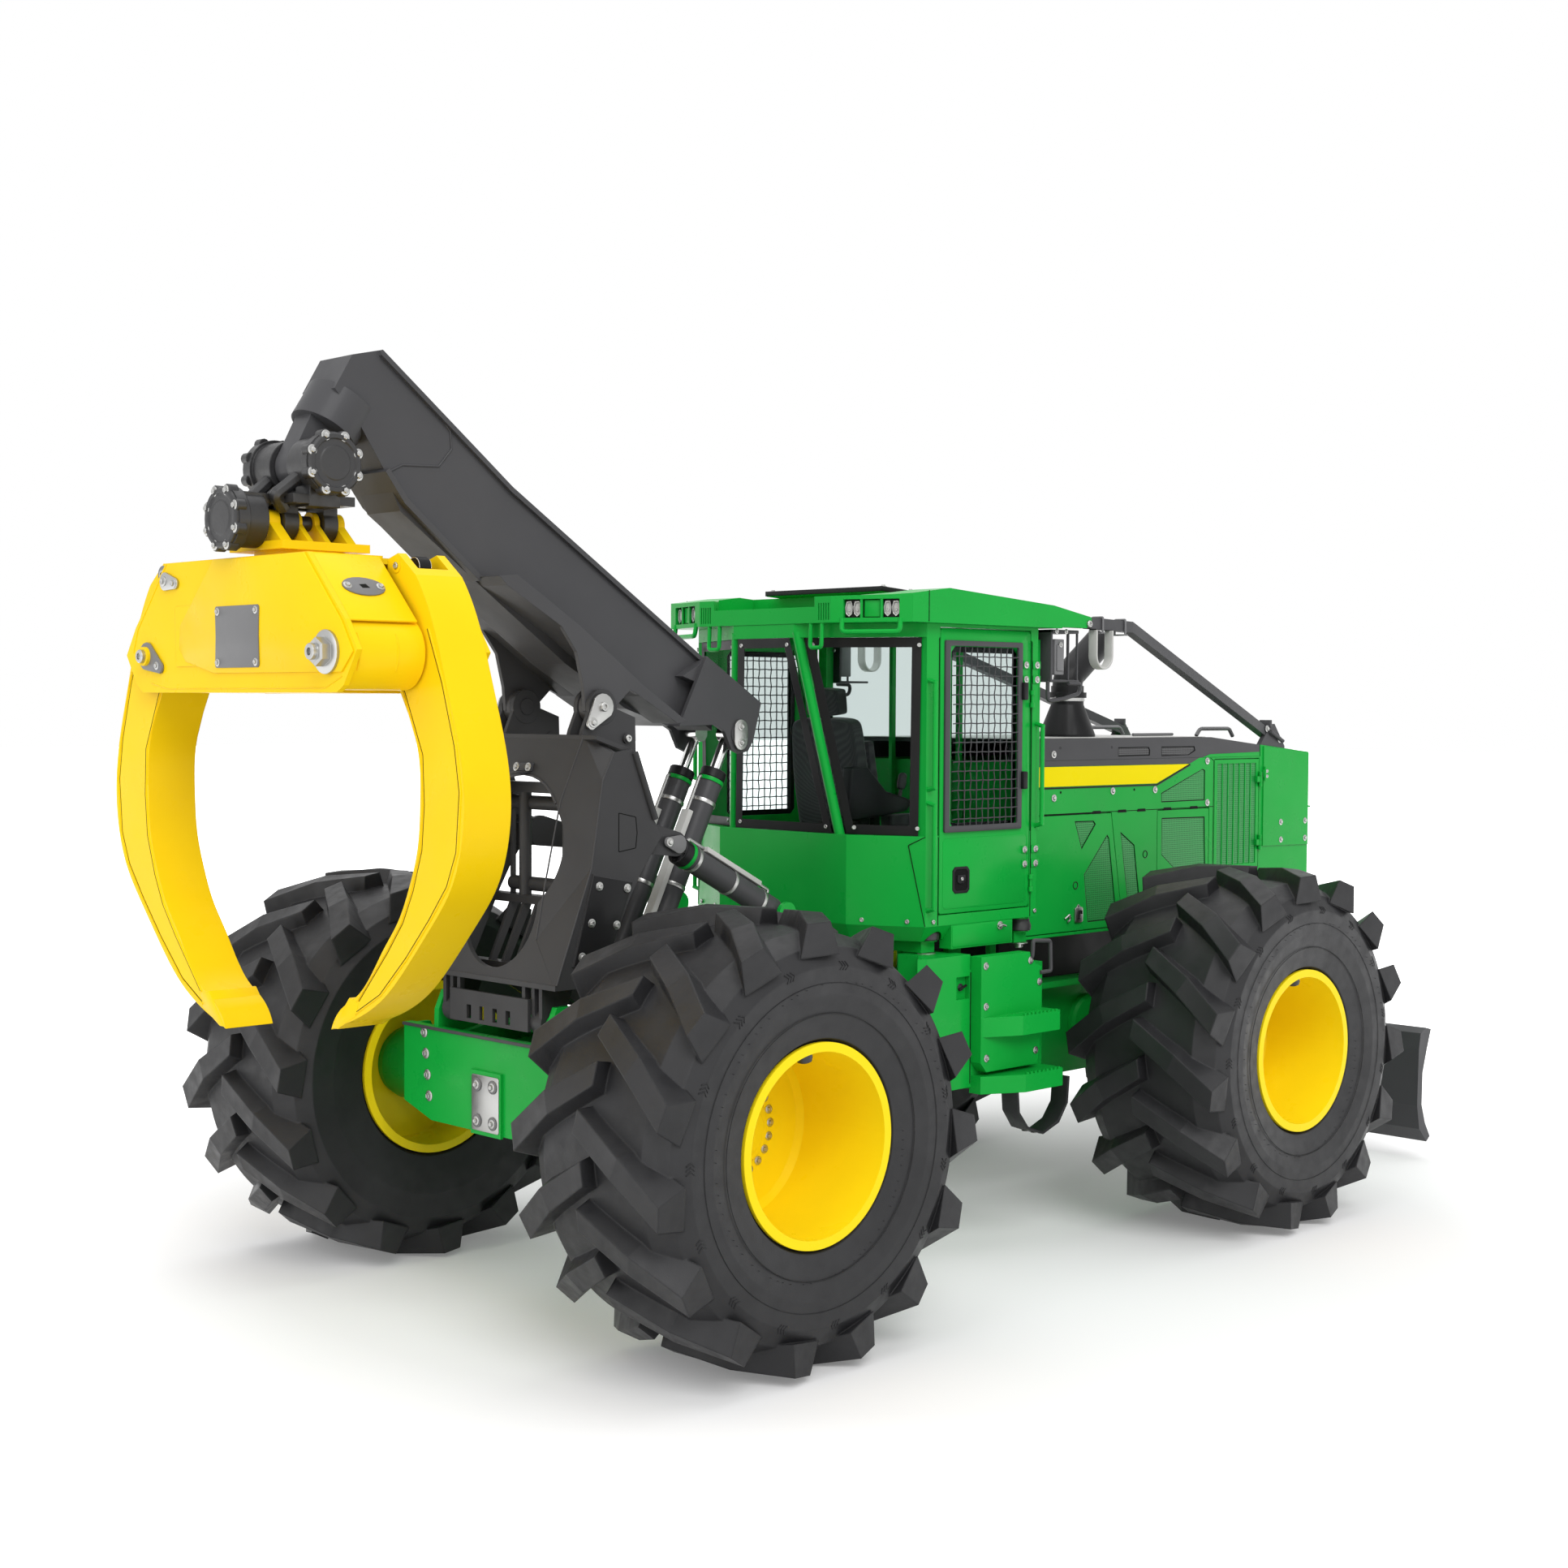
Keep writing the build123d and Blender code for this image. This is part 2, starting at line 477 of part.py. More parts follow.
# ---------------------------------------------------------------- boom
def boom():
    top = [(1150, 2832), (895, 3000), (-362, 3808), (-521, 3931), (-1061, 4346)]
    low = [(-1200, 4312), (-1290, 4160), (-1160, 4010), (-1040, 3830), (-960, 3660), (-440, 3290), (-40, 3010), (330, 2800),
           (600, 2716), (850, 2716), (960, 2650), (1005, 2600), (1062, 2640)]
    beam = side(top + low, -BOOM_HALF + 10, BOOM_HALF - 10)
    hollow = [(830, 2985), (-400, 3790), (-1050, 4290), (-1140, 4270), (-1000, 3900), (-920, 3720), (-420, 3340),
              (-20, 3060), (340, 2850), (640, 2770)]
    beam -= side(hollow, -BOOM_HALF + 30, BOOM_HALF - 30)
    cap = [(x, z) for x, z in top] + [(x - 6, z - 24) for x, z in reversed(top)]
    beam += side(cap, -BOOM_HALF - 12, BOOM_HALF + 12)
    # side plates at the front clevis, open between for the cylinder eyes
    wing = [(600, 2716), (780, 3060), (1150, 2832), (1095, 2640), (1060, 2590), (1000, 2578), (945, 2600), (900, 2690), (840, 2722)]
    beam -= block((890, 1250), (-BOOM_HALF - 30, BOOM_HALF + 30), (2500, 2775))
    beam += both(side(wing, -210, -186))
    beam += both(side([(600, 2720), (620, 2740), (900, 2800), (900, 2780)], -188, -BOOM_HALF + 12))
    beam += both(side([(640, 2960), (800, 3046), (1120, 2840), (1100, 2815)], -188, -BOOM_HALF + 12))
    beam += both(ypin(*BOOM_CYL_TOP, 62, -216, -185))
    # wishbone down to the pivots
    leg = [(-560, 3390), (-250, 3230), (-120, 3060), (-80, 2900), (-70, 2790), (-30, 2735), (40, 2735), (90, 2790),
           (200, 2890), (420, 2790), (560, 2740), (300, 2900), (-100, 3180), (-460, 3400)]
    y1 = BOOM_PIN_Y - 40
    beam += both(side(leg, -y1, -y1 + 22))
    beam += both(ypin(*BOOM_PIVOT, 78, -y1 - 2, -y1 + 52, PIN_BOOM + SEAT))
    web = side([(-560, 3390), (-460, 3400), (300, 2900), (560, 2740), (500, 2730), (260, 2860), (-130, 3130), (-520, 3350)],
               -y1, -BOOM_HALF + 12)
    beam += both(web)
    beam -= both(ypin(*BOOM_PIVOT, PIN_BOOM + SEAT, -400, -200))
    # belly plate
    belly = [(-1060, 3822), (-960, 3690), (-560, 3372), (-545, 3392), (-940, 3712), (-1040, 3838)]
    beam += side(belly, -165, 165)
    # tip housing
    beam += Pos(-1222, 0, 4058) * Rot(0, 33, 0) * Cylinder(150, 170)
    beam += lug_plate(TIP_PIVOT, 95, (-1240, 4030), 120, -62, 62)
    beam -= ypin(*TIP_PIVOT, PIN_TIP + SEAT, -300, 300)
    return beam


def crosshead():
    """Casting between the boom tip and the hanger, pins along Y then X."""
    x, z = TIP_PIVOT
    shape = ypin(x, z, PIN_TIP, -200, 200)
    for s in (-1, 1):
        shape += ypin(x, z, 118, min(s * 68, s * 215), max(s * 68, s * 215))
        shape += ypin(x, z, 132, min(s * 205, s * 245), max(s * 205, s * 256))
        shape += front([(s * 70, z - 40), (s * 190, z - 40), (s * 175, SIDE_PIVOT_Z + 60), (s * 70, SIDE_PIVOT_Z + 60)], x - 75, x + 75)
    shape += block((x - 150, x + 150), (-175, 175), (SIDE_PIVOT_Z + 70, SIDE_PIVOT_Z + 110))
    shape += xpin(0, SIDE_PIVOT_Z, 78, x - 130, x - 62) + xpin(0, SIDE_PIVOT_Z, 78, x + 62, x + 130)
    shape += block((x - 130, x - 62), (-70, 70), (SIDE_PIVOT_Z, SIDE_PIVOT_Z + 80))
    shape += block((x + 62, x + 130), (-70, 70), (SIDE_PIVOT_Z, SIDE_PIVOT_Z + 80))
    shape += xpin(0, SIDE_PIVOT_Z, PIN_SIDE, x - 240, x + 190)
    shape += xpin(0, SIDE_PIVOT_Z, 118, x - 330, x - 230)
    shape += xpin(0, SIDE_PIVOT_Z, 132, x - 376, x - 325)
    shape += front([(-70, SIDE_PIVOT_Z + 110), (70, SIDE_PIVOT_Z + 110), (60, SIDE_PIVOT_Z + 70), (-60, SIDE_PIVOT_Z + 70)], x - 320, x - 140)
    return shape


def hanger():
    """Yellow ears and turntable between the crosshead and the head."""
    x, z = TIP_PIVOT[0], SIDE_PIVOT_Z
    ear = [(-150, 3490), (-52, z - 12), (-46, z), (46, z), (52, z - 12), (150, 3490)]
    for x0, x1 in ((-56, -30), (30, 56), (-190, -136), (136, 180)):
        shape_ear = front(ear, x + x0, x + x1) + xpin(0, z, 50, x + x0, x + x1)
        shape = shape_ear if x0 == -56 else shape + shape_ear
    shape += Pos(HEAD_X, 0, 3478) * Box(430, 420, 36)
    shape += Pos(HEAD_X, 0, 3451.65 + SEAT / 2) * Cylinder(190, 30.7 - SEAT)
    shape -= xpin(0, z, PIN_SIDE + SEAT, x - 400, x + 400)
    return shape


# ---------------------------------------------------------------- grapple
HEAD_OUT = [(-568, 3425), (568, 3425), (840, 3150), (925, 3029), (830, 2890), (780, 2862), (-780, 2862), (-830, 2890),
            (-925, 3029), (-840, 3150)]


def grapple_head():
    x0, x1 = HEAD_X - HEAD_HALF_X, HEAD_X + HEAD_HALF_X
    plate = front(HEAD_OUT, x0, x0 + 25) + front(HEAD_OUT, x1 - 25, x1)
    top = front([(-568, 3400), (568, 3400), (568, 3425), (-568, 3425)], x0 + 10, x1 - 10)
    for s in (-1, 1):
        near, far = HEAD_X + s * (TONG_GAP - CLEAR), HEAD_X + s * (HEAD_HALF_X - 25)
        top -= block((min(near, far), max(near, far)), (min(-s * 600, -s * 450), max(-s * 600, -s * 450)), (3390, 3430))
    low = front([(-500, 2862), (500, 2862), (500, 2887), (-500, 2887)], x0 + 10, x1 - 10)
    shape = plate + top + low + Pos(HEAD_X, 0, 3425) * Cylinder(170, 22)
    y, z = TONG_PIN
    # spacer tubes beside each tong, and the tong pins
    for s in (-1, 1):
        inner = HEAD_X + s * (TONG_GAP - CLEAR - 5)
        far = x0 + 20 if s > 0 else x1 - 20
        shape += xpin(-s * y, z, 150, min(inner, far), max(inner, far))
        near = x1 - 20 if s > 0 else x0 + 20
        shape += xpin(-s * y, z, PIN_TONG, min(inner, near), max(inner, near))
        shape += xpin(s * tong_cylinder_ends()[0][1], tong_cylinder_ends()[0][2], PIN_STEER, min(inner - 10 * s, near), max(inner - 10 * s, near))
        shape += xpin(-s * y, z, 42, x0 - 30, x1 + 30)
        shape += front([(-s * 180, 2880), (-s * 600, 2880), (-s * 600, 3290), (-s * 180, 3290)],
                       inner, inner - s * 20)
    door = front([(130, 2975), (470, 2975), (480, 3235), (120, 3235)], x0 - 6, x0 + 1)
    shape += door
    shape += Rot(0, 0, 0) * front([(-120, 2975), (-470, 2975), (-480, 3235), (-120, 3235)], x1 - 1, x1 + 6)
    return shape


TONG_OUT = [(790, 3340), (906, 3150), (1000, 2900), (1085, 2650), (1118, 2480), (1095, 2230), (1030, 2080), (905, 1930),
            (740, 1760), (545, 1590), (350, 1490), (200, 1441)]
TONG_IN = [(160, 1425), (250, 1530), (350, 1583), (556, 1802), (665, 1930), (738, 2063), (800, 2230), (819, 2410),
           (809, 2613), (689, 2855), (590, 3022), (593, 3410), (668, 3432)]


def tong():
    """Right tong, hung at -Y in the front half of the head."""
    x0 = HEAD_X + TONG_GAP
    out, inner = [[(0, -y, z) for y, z in line] for line in (TONG_OUT, TONG_IN[:-2])]
    heel = [inner[-1]] + [(0, -y, z) for y, z in TONG_IN[-2:]] + [out[0]]
    edges = [Spline(*out), Polyline(out[-1], inner[0]), Spline(*inner), Polyline(*heel)]
    shape = extrude(Pos(x0, 0, 0) * make_face(edges), amount=TONG_W, dir=(1, 0, 0))
    shape -= front([(-y, z) for y, z in ((560, 3280), (770, 3280), (730, 3470), (560, 3470))], x0 + 40, x0 + TONG_W - 40)
    shape += xpin(-TONG_PIN[0], TONG_PIN[1], 140, x0, x0 + TONG_W)
    ear = tong_cylinder_ends()[1]
    for a, b in ((x0 - 3, x0 + 1), (x0 + TONG_W - 1, x0 + TONG_W + 3)):
        shape += xpin(ear[1], ear[2], 30, a, b)
    shape -= xpin(-TONG_PIN[0], TONG_PIN[1], PIN_TONG + SEAT, x0 - 10, x0 + TONG_W + 10)
    return shape


def tong_cylinder_ends():
    """Anchor in the head and pin on the right tong."""
    x = HEAD_X + TONG_GAP + TONG_W / 2
    return (x, 360, 3195), (x, -657, 3381)


# ---------------------------------------------------------------- cylinders
def barrel(base, tip, share, r=BARREL_R, rod_r=ROD_R, eye=48, axis=(0, 1, 0), width=90, bore=32):
    """Open barrel from the eye on its base pin towards the tip pin."""
    a, b, along = Vector(*base), Vector(*tip), Vector(*axis)
    d = (b - a).normalized()
    end = a + (b - a) * share
    half = along * (width / 2)
    shape = rod(a + d * (eye - 12), end, r) - rod(a + d * (eye + 30), end + d, rod_r + SEAT)
    shape += rod(a - half, a + half, eye)
    return shape - rod(a - along * (width + r), a + along * (width + r), bore)


def piston(base, tip, start, r=ROD_R, eye=46, axis=(0, 1, 0), width=80):
    """Bright rod from inside the barrel to its eye, whose pin is left out between the ears."""
    a, b, along = Vector(*base), Vector(*tip), Vector(*axis)
    d = (b - a).normalized()
    half = along * (width / 2)
    return rod(a + d * start, b - d * (eye / 2), r) + rod(b - half, b + half, eye)


def at_y(point, y):
    """Point in x and z, set at y."""
    return point[0], y, point[1]


def at_z(point, z):
    """Point in x and y on the right side, set at z."""
    return point[0], -point[1], z


# ---------------------------------------------------------------- cab
def cab_plan(grow=0):
    """Plan of the cab body."""
    g = grow
    return [(1500 - g, -473 - g / 2), (1682 - g / 2, -CAB_HALF - g), (2560 + g, -CAB_HALF - g), (2640 + g, -760 - g),
            (2640 + g, 760 + g), (2560 + g, CAB_HALF + g), (1682 - g / 2, CAB_HALF + g), (1500 - g, 473 + g / 2)]


def flat(points):
    """Face from an outline in x and y."""
    return make_face(Polyline([(x, y, 0) for x, y in points], close=True))


def cab_shell():
    """Lower walls, posts and top ring, open for doors and windows."""
    low = plan(cab_plan(), CAB_FLOOR, SILL_Z) - plan(cab_plan(-CAB_WALL), CAB_FLOOR + 30, SILL_Z + 1)
    ring = rear_ring()
    shape = low + ring
    h = CAB_HALF
    for x0, x1 in ((1682, 1774), (2509, 2560)):
        shape += both(block((x0, x1), (-h, -h + 60), (SILL_Z - 5, CAB_TOP - 60)))
    shape += both(block((2580, 2640), (-800, -740), (SILL_Z - 5, CAB_TOP - 60)))
    shape += both(plan([(2509, -h), (2560, -h), (2640, -760), (2640, -720), (2509, -h + 60)], CAB_FLOOR + 5, SILL_Z))
    # slanted rear posts
    shape += both(rod((REAR_LOW[0] + 18, -REAR_LOW[1], SILL_Z - 10), (REAR_HIGH[0] + 22, -REAR_HIGH[1], CAB_TOP - 40), 26))
    # door openings
    shape -= both(block((DOOR_X[0] - 2, DOOR_X[1] + 2), (-h - 5, -h + 70), (DOOR_Z[0] - 2, DOOR_Z[1] + 2)))
    for z in HINGES["door"]:
        shape += both(hinge(DOOR_X[1], -h, z, 16)[0])
    # skirt under the slanted rear corners, tool box between the mounts
    skirt = loft([Pos(0, 0, CAB_FLOOR + 1) * flat(cab_plan()), Pos(0, 0, CAB_FLOOR - 78) * flat(cab_plan(-60))], ruled=True)
    skirt -= plan(cab_plan(-70), CAB_FLOOR - 79, CAB_FLOOR)
    skirt -= block((2180, 2660), (-900, 900), (CAB_FLOOR - 90, CAB_FLOOR))
    skirt -= both(Pos(MOUNT_X[0], -MOUNT_Y, CAB_FLOOR - 50) * Cylinder(75, 100))
    shape += skirt
    shape += both(block((1885, 2369), (-CAB_HALF + 2, -CAB_HALF + 82), (CAB_FLOOR - 125, CAB_FLOOR + 1)))
    # upright grab handles beside and ahead of the door
    y, foot = -h - 44, -h + 4
    for x, z0, z1 in GRABS:
        shape += both(grab([(x, foot, z0), (x, y, z0 + 12), (x, y, z1 - 12), (x, foot, z1)], TUBE_R))
    # windscreen bars
    for y in (-250, 250):
        shape += block((2605, 2635), (y - 12, y + 12), (SILL_Z - 5, CAB_TOP - 60))
    return shape


def rear_ring():
    """Top ring of the cab, drawn back over the leaning rear window."""
    def outline(g):
        x, y = REAR_HIGH
        return [(x - g, -y - g / 2), (1682 - g / 2, -CAB_HALF - g), (2560 + g, -CAB_HALF - g), (2640 + g, -760 - g),
                (2640 + g, 760 + g), (2560 + g, CAB_HALF + g), (1682 - g / 2, CAB_HALF + g), (x - g, y + g / 2)]
    return plan(outline(0), CAB_TOP - 70, CAB_TOP) - plan(outline(-CAB_WALL), CAB_TOP - 71, CAB_TOP + 1)


def cab_roof():
    """Roof with long side fascias, rear corner boxes for lamps and a low tray between them."""
    h = ROOF_HALF
    under = CAB_TOP + SEAT
    out = [(1361, -488), (1521, -h), (2950, -h), (2950, -h + 40), (2700, -h + 60), (2660, -520), (2660, 520), (2700, h - 60),
           (2950, h - 40), (2950, h), (1521, h), (1361, 488)]
    slab = plan(out, under, under + 215)
    crown = [(1200, 3365), (1480, 3372), (1796, 3412), (2629, 3354), (2960, 3300), (2990, 3700), (1200, 3700)]
    slab -= side(crown, -1000, 1000)
    slab -= side([(2700, 3200), (2700, 3242), (2905, 3242), (3000, 3275), (3000, 3200)], -1000, 1000)
    # lowered tray between the corner boxes
    slab -= plan([(1300, -330), (1440, -430), (1640, -640), (1900, -640), (1900, 640), (1640, 640), (1440, 430), (1300, 330)],
                 3318, 3500)
    slab += side([(1800, 3411), (2460, 3366), (2460, 3384), (1800, 3430)], -430, 430)
    # lamp pockets in the slanted corner faces, then three bars over each
    face = Vector(REAR_FACE[1][0] - REAR_FACE[0][0], REAR_FACE[1][1] - REAR_FACE[0][1], 0)
    across, inward = face.normalized(), Vector(-face.Y, face.X, 0).normalized()
    start = Vector(REAR_FACE[0][0], REAR_FACE[0][1], 0)
    def corner(s0, s1, d0, d1, z0, z1):
        pts = [start + across * a + inward * d for a, d in ((s0, d0), (s1, d0), (s1, d1), (s0, d1))]
        return plan([(p.X, p.Y) for p in pts], z0, z1)
    pocket = corner(70, 370, -10, 90, 3258, 3350)
    bars = corner(160, 172, 2, 14, 3256, 3352) + corner(268, 280, 2, 14, 3256, 3352)
    slab -= both(pocket)
    for s in LAMP_PLACES:
        a = start + across * s + inward * 30 + Vector(0, 0, LAMP_Z)
        bars += rod(a, a + inward * 62, LAMP_R)
    slab += both(bars)
    # louvres in the inner rear faces
    for k in range(5):
        y = 405 + k * 17
        slab -= both(block((1340, 1430), (y - 4, y + 4), (3250, 3335)))
    return slab


def cab_glass():
    """Rear, quarter and front panes as one node of four sheets."""
    z0, z1 = SILL_Z + SEAT, CAB_TOP - 70 - SEAT
    t, gap = 8, 34
    panes = block((2590, 2590 + t), (-739, 739), (z0, z1))
    (xa, ya), (xb, yb) = REAR_LOW, REAR_HIGH
    panes += pane([(xa, -ya + gap), (xa + t, -ya + gap), (xa + t, ya - gap), (xa, ya - gap)],
                  [(xb + 6, -yb + gap), (xb + 6 + t, -yb + gap), (xb + 6 + t, yb - gap), (xb + 6, yb - gap)], z0, z1)
    quarter = pane([(xa + 45, -ya - 20), (1681, -800), (1681, -792), (xa + 49, -ya - 14)],
                   [(xb + 45, -yb - 30), (1681, -815), (1681, -807), (xb + 51, -yb - 24)], z0, z1)
    return panes + both(quarter)


def pane(low, high, z0, z1):
    """Sheet ruled between two thin outlines."""
    faces = [make_face(Polyline([(x, y, z) for x, y in pts], close=True)) for pts, z in ((low, z0), (high, z1))]
    return loft(faces, ruled=True)


def door():
    """Right door, hinged on its front edge."""
    x0, x1 = DOOR_X
    z0, z1 = DOOR_Z
    shape = block((x0 + 2, x1 - 2), (-CAB_HALF, -CAB_HALF + 36), (z0 + 2, z1 - 2))
    shape -= block((x0 + 75, x1 - 75), (-CAB_HALF - 5, -CAB_HALF + 50), (2185, z1 - 80))
    bars = block((x0 + 60, x1 - 60), (-CAB_HALF - 14, -CAB_HALF + 0.3), (2165, z1 - 62))
    bars -= block((x0 + 92, x1 - 92), (-CAB_HALF - 30, -CAB_HALF + 20), (2200, z1 - 98))
    shape += bars
    guard = block((x0 + 91, x1 - 91), (-CAB_HALF - 10, -CAB_HALF - 4), (2199, z1 - 97))
    step_x, step_z = (x1 - x0 - 184) / GUARD_NX, (z1 - 98 - 2200) / GUARD_NZ
    half_x, half_z = step_x / 2 - 5, step_z / 2 - 5
    holes = [Pos(x0 + 92 + step_x * (i + 0.5), -CAB_HALF - 7, 2200 + step_z * (k + 0.5)) * Box(2 * half_x, 20, 2 * half_z)
             for i in range(GUARD_NX) for k in range(GUARD_NZ)]
    shape += guard.cut(*holes)
    shape += block((x0 + 70, x1 - 70), (-CAB_HALF + 14, -CAB_HALF + 20), (2180, z1 - 74))
    for z in HINGES["door"]:
        shape += hinge(x1, -CAB_HALF, z)[1]
    return shape


def seat():
    shape = block((1930, 2330), (-240, 240), (CAB_FLOOR + 30 + SEAT, CAB_FLOOR + 300))
    shape += block((1900, 2380), (-260, 260), (2000, 2120))
    shape += side([(1850, 2080), (1960, 2080), (1900, 2780), (1800, 2780)], -240, 240)
    shape += both(block((1960, 2300), (-350, -262), (2180, 2240)))
    shape += both(block((2000, 2060), (-350, -255), (2040, 2185)))
    return shape


# ---------------------------------------------------------------- hood
HOOD_SKIN = 22
HOOD_BOTTOM = 1545
HOOD_TOP = 2520
# doors in each side of the hood: back x, front x, how far the front leans back, bottom z, top z
PANELS = {"engine_panel": (2705, 3655, 117, 1567, 2216), "filter_panel": (3985, 4500, 0, 1567, 2216),
          "grille_door": (4560, 5030, 0, 1840, 2505)}
VENT_DEPTH = 6
# meshed openings as outlines in x and z
VENTS = {"engine_panel": (((3206, 2180), (3378, 2178), (3398, 2157), (3271, 2020)),
                          ((3295, 1878), (3505, 2095), (3523, 2074), (3602, 1608), (3332, 1606))),
         "filter_panel": (((4026, 2172), (4459, 2167), (4472, 1859), (4195, 1843), (4026, 1956)),),
         "grille_door": (),
         "hood": (((4019, 2319), (4433, 2453), (4459, 2444), (4459, 2264), (4020, 2264)),
                  ((3628, 2106), (3763, 2025), (3833, 1620), (3722, 1605))),
         "cowl": (((3601, 2590), (3893, 2590), (3908, 2570), (3905, 2539), (3602, 2537)),
                  ((4017, 2590), (4349, 2590), (4360, 2563), (4290, 2537), (4018, 2534)))}
GRILLE_STRIPS = 7


# heights of the hinges at the front edge of each opening door
HINGES = {"door": (1890, 2860), "grille_door": (1990, 2380)}


def hinge(x, y, z, leaf=9):
    """Pin and outer knuckles for the body, middle knuckle for the door, on the right side."""
    yc = y - PIN_HINGE - 6
    fixed = rod((x, yc, z - 45), (x, yc, z + 45), PIN_HINGE)
    for z0, z1 in ((z - 45, z - 20), (z + 20, z + 45)):
        fixed += rod((x, yc, z0), (x, yc, z1), PIN_HINGE + 5)
        fixed += block((x, x + leaf), (yc - 5, yc + 5), (z0, z1))
        fixed += block((x + leaf - 3, x + leaf + 3), (yc - 5, y + 2), (z0, z1))
    moving = rod((x, yc, z - 18), (x, yc, z + 18), PIN_HINGE + 5) + block((x - 40, x), (yc - 5, yc + 5), (z - 18, z + 18))
    moving += block((x - 40, x - 10), (yc, y + 2), (z - 18, z + 18))
    return fixed, moving - rod((x, yc, z - 30), (x, yc, z + 30), PIN_HINGE + SEAT)


def panel_outline(name, grow=0):
    """Corners of a hood door in x and z."""
    a, b, lean, low, high = PANELS[name]
    return [(a - grow, low - grow), (b + grow, low - grow), (b + grow - lean, high + grow), (a - grow, high + grow)]


def vents(name, y):
    """Shallow recesses for the mesh in the right side at y."""
    cut = None
    for outline in VENTS[name]:
        piece = side(outline, y - 1, y + VENT_DEPTH)
        cut = piece if cut is None else cut + piece
    return cut


def hood_shell():
    """Side walls, firewall and inner ledges, with an opening for each door."""
    h, t = HOOD_HALF, HOOD_SKIN
    x0, x1 = HOOD_BACK + 8, 5045.5
    shape = block((x0, x1), (-h, h), (HOOD_BOTTOM, HOOD_TOP))
    shape -= block((x0 + 22, x1 + 9), (-h + t, h - t), (HOOD_BOTTOM - 9, HOOD_TOP + 9))
    for name in PANELS:
        shape -= both(side(panel_outline(name, CLEAR), -h - 9, -h + t + 9))
        ledge = side(panel_outline(name, 14), -h + 18 + SEAT, -h + 26) - side(panel_outline(name, -25), -h, -h + 30)
        shape += both(ledge)
    shape -= both(vents("hood", -h))
    for z in HINGES["grille_door"]:
        shape += both(hinge(PANELS["grille_door"][1] + 2, -h, z)[0])
    shape += both(block((2780, 2830), (-h + t - 1, -FRAME_HALF - 20), (HOOD_BOTTOM, HOOD_BOTTOM + 30)))
    shape += both(block((2780, 2830), (-FRAME_HALF - 50, -FRAME_HALF - 20), (1260 + SEAT, HOOD_BOTTOM + 30)))
    return shape


def hood_door(name):
    """Door in the right side of the hood."""
    h = HOOD_HALF
    shape = side(panel_outline(name), -h, -h + 18)
    if VENTS[name]:
        shape -= vents(name, -h)
    else:
        a, b, _, low, high = PANELS[name]
        step = (b - a - 50) / GRILLE_STRIPS
        for k in range(GRILLE_STRIPS):
            x = a + 25 + step * (k + 0.5)
            shape -= block((x - step / 2 + 4, x + step / 2 - 4), (-h - 1, -h + VENT_DEPTH), (low + 25, high - 25))
    for z in HINGES.get(name, ()):
        shape += hinge(PANELS[name][1] + 2, -h, z)[1]
    return shape


def cowl():
    h = HOOD_HALF
    low = HOOD_TOP + SEAT
    prof = [(HOOD_BACK + 8, low), (HOOD_BACK + 8, COWL_TOP), (4520, COWL_TOP), (5040, 2592), (5040, low)]
    shape = side(prof, -h + 2, h - 2)
    shape -= side([(HOOD_BACK, 2510), (HOOD_BACK, COWL_TOP - 22), (4510, COWL_TOP - 22), (5030, 2572), (5030, 2510)], -h + 24, h - 24)
    return shape - both(vents("cowl", -h + 2))


def front_box():
    h = HOOD_HALF
    prof = [(5046, 1260 + SEAT), (5046, 2592), (HOOD_FRONT, 2542), (HOOD_FRONT, 1260 + SEAT)]
    shape = side(prof, -h, h)
    shape -= block((5040, HOOD_FRONT - 30), (-h + 25, h - 25), (1300, 2520))
    shape += both(side([(5074, 1965), (5074, 2583), (HOOD_FRONT - 8, 2536), (HOOD_FRONT - 8, 1955)], -h - 8, -h + 1))
    for k in range(14):
        z = 1420 + k * 76
        shape -= block((HOOD_FRONT - 50, HOOD_FRONT + 10), (-460, 460), (z, z + 46))
    return shape


def engine():
    return block((2950, 4350), (-270, 270), (1260 + SEAT, 2350))


def cooler():
    return block((4620, 4960), (-540, 540), (1260 + SEAT, 2500))


def exhaust():
    """Stack on the cowl: cone, clamp and a slanted open elbow."""
    x, y, z = EXHAUST
    r = EXHAUST_R
    prof = [(0, 0), (165, 0), (165, 15), (96, 190), (96, 230), (112, 230), (112, 262), (96, 262), (96, 300), (0, 300)]
    shape = Pos(x, y, z) * revolve(make_face(Polyline([(a, 0, b) for a, b in prof], close=True)), Axis.Z)
    shape += tube_path([(x, y, z + 290), (x, y, z + 350), (x + 300, y, z + 565)], r, 92)
    bore = tube_path([(x, y, z + 296), (x, y, z + 350), (x + 330, y, z + 586.5)], r - 8, 92)
    return shape - bore


def risers():
    """Square limb risers from the roof to the front box, with a strap hoop on each."""
    y, half = ROOF_HALF - 34, 30
    bend = (3380, -y + 40, 3262)
    shape = both(square_bar((2954, -y, 3272), bend, half) + square_bar(bend, (5190, -545, 2655), half))
    def top(x):
        return 2592 - (x - 5046) * 50 / (HOOD_FRONT - 5046)
    foot = [(5060, top(5060) + SEAT), (5330, top(5330) + SEAT), (5330, top(5330) + 15), (5215, 2720), (5150, 2690)]
    shape += both(side(foot, -590, -560))
    hoop = FilletPolyline((3010, -y, 3240), (3010, -y, 3030), (3150, -y, 3030), (3150, -y, 3240), radius=69)
    strap = Plane(origin=hoop @ 0, z_dir=hoop % 0) * Rectangle(8, 50)
    return shape + both(sweep(strap, path=hoop))


def square_bar(a, b, half):
    """Square tube between two points, its ends cut upright."""
    faces = []
    for x, y, z in (a, b):
        faces.append(make_face(Polyline([(x, y + i * half, z + j * half) for i, j in ((-1, -1), (1, -1), (1, 1), (-1, 1))],
                                        close=True)))
    return loft(faces, ruled=True)


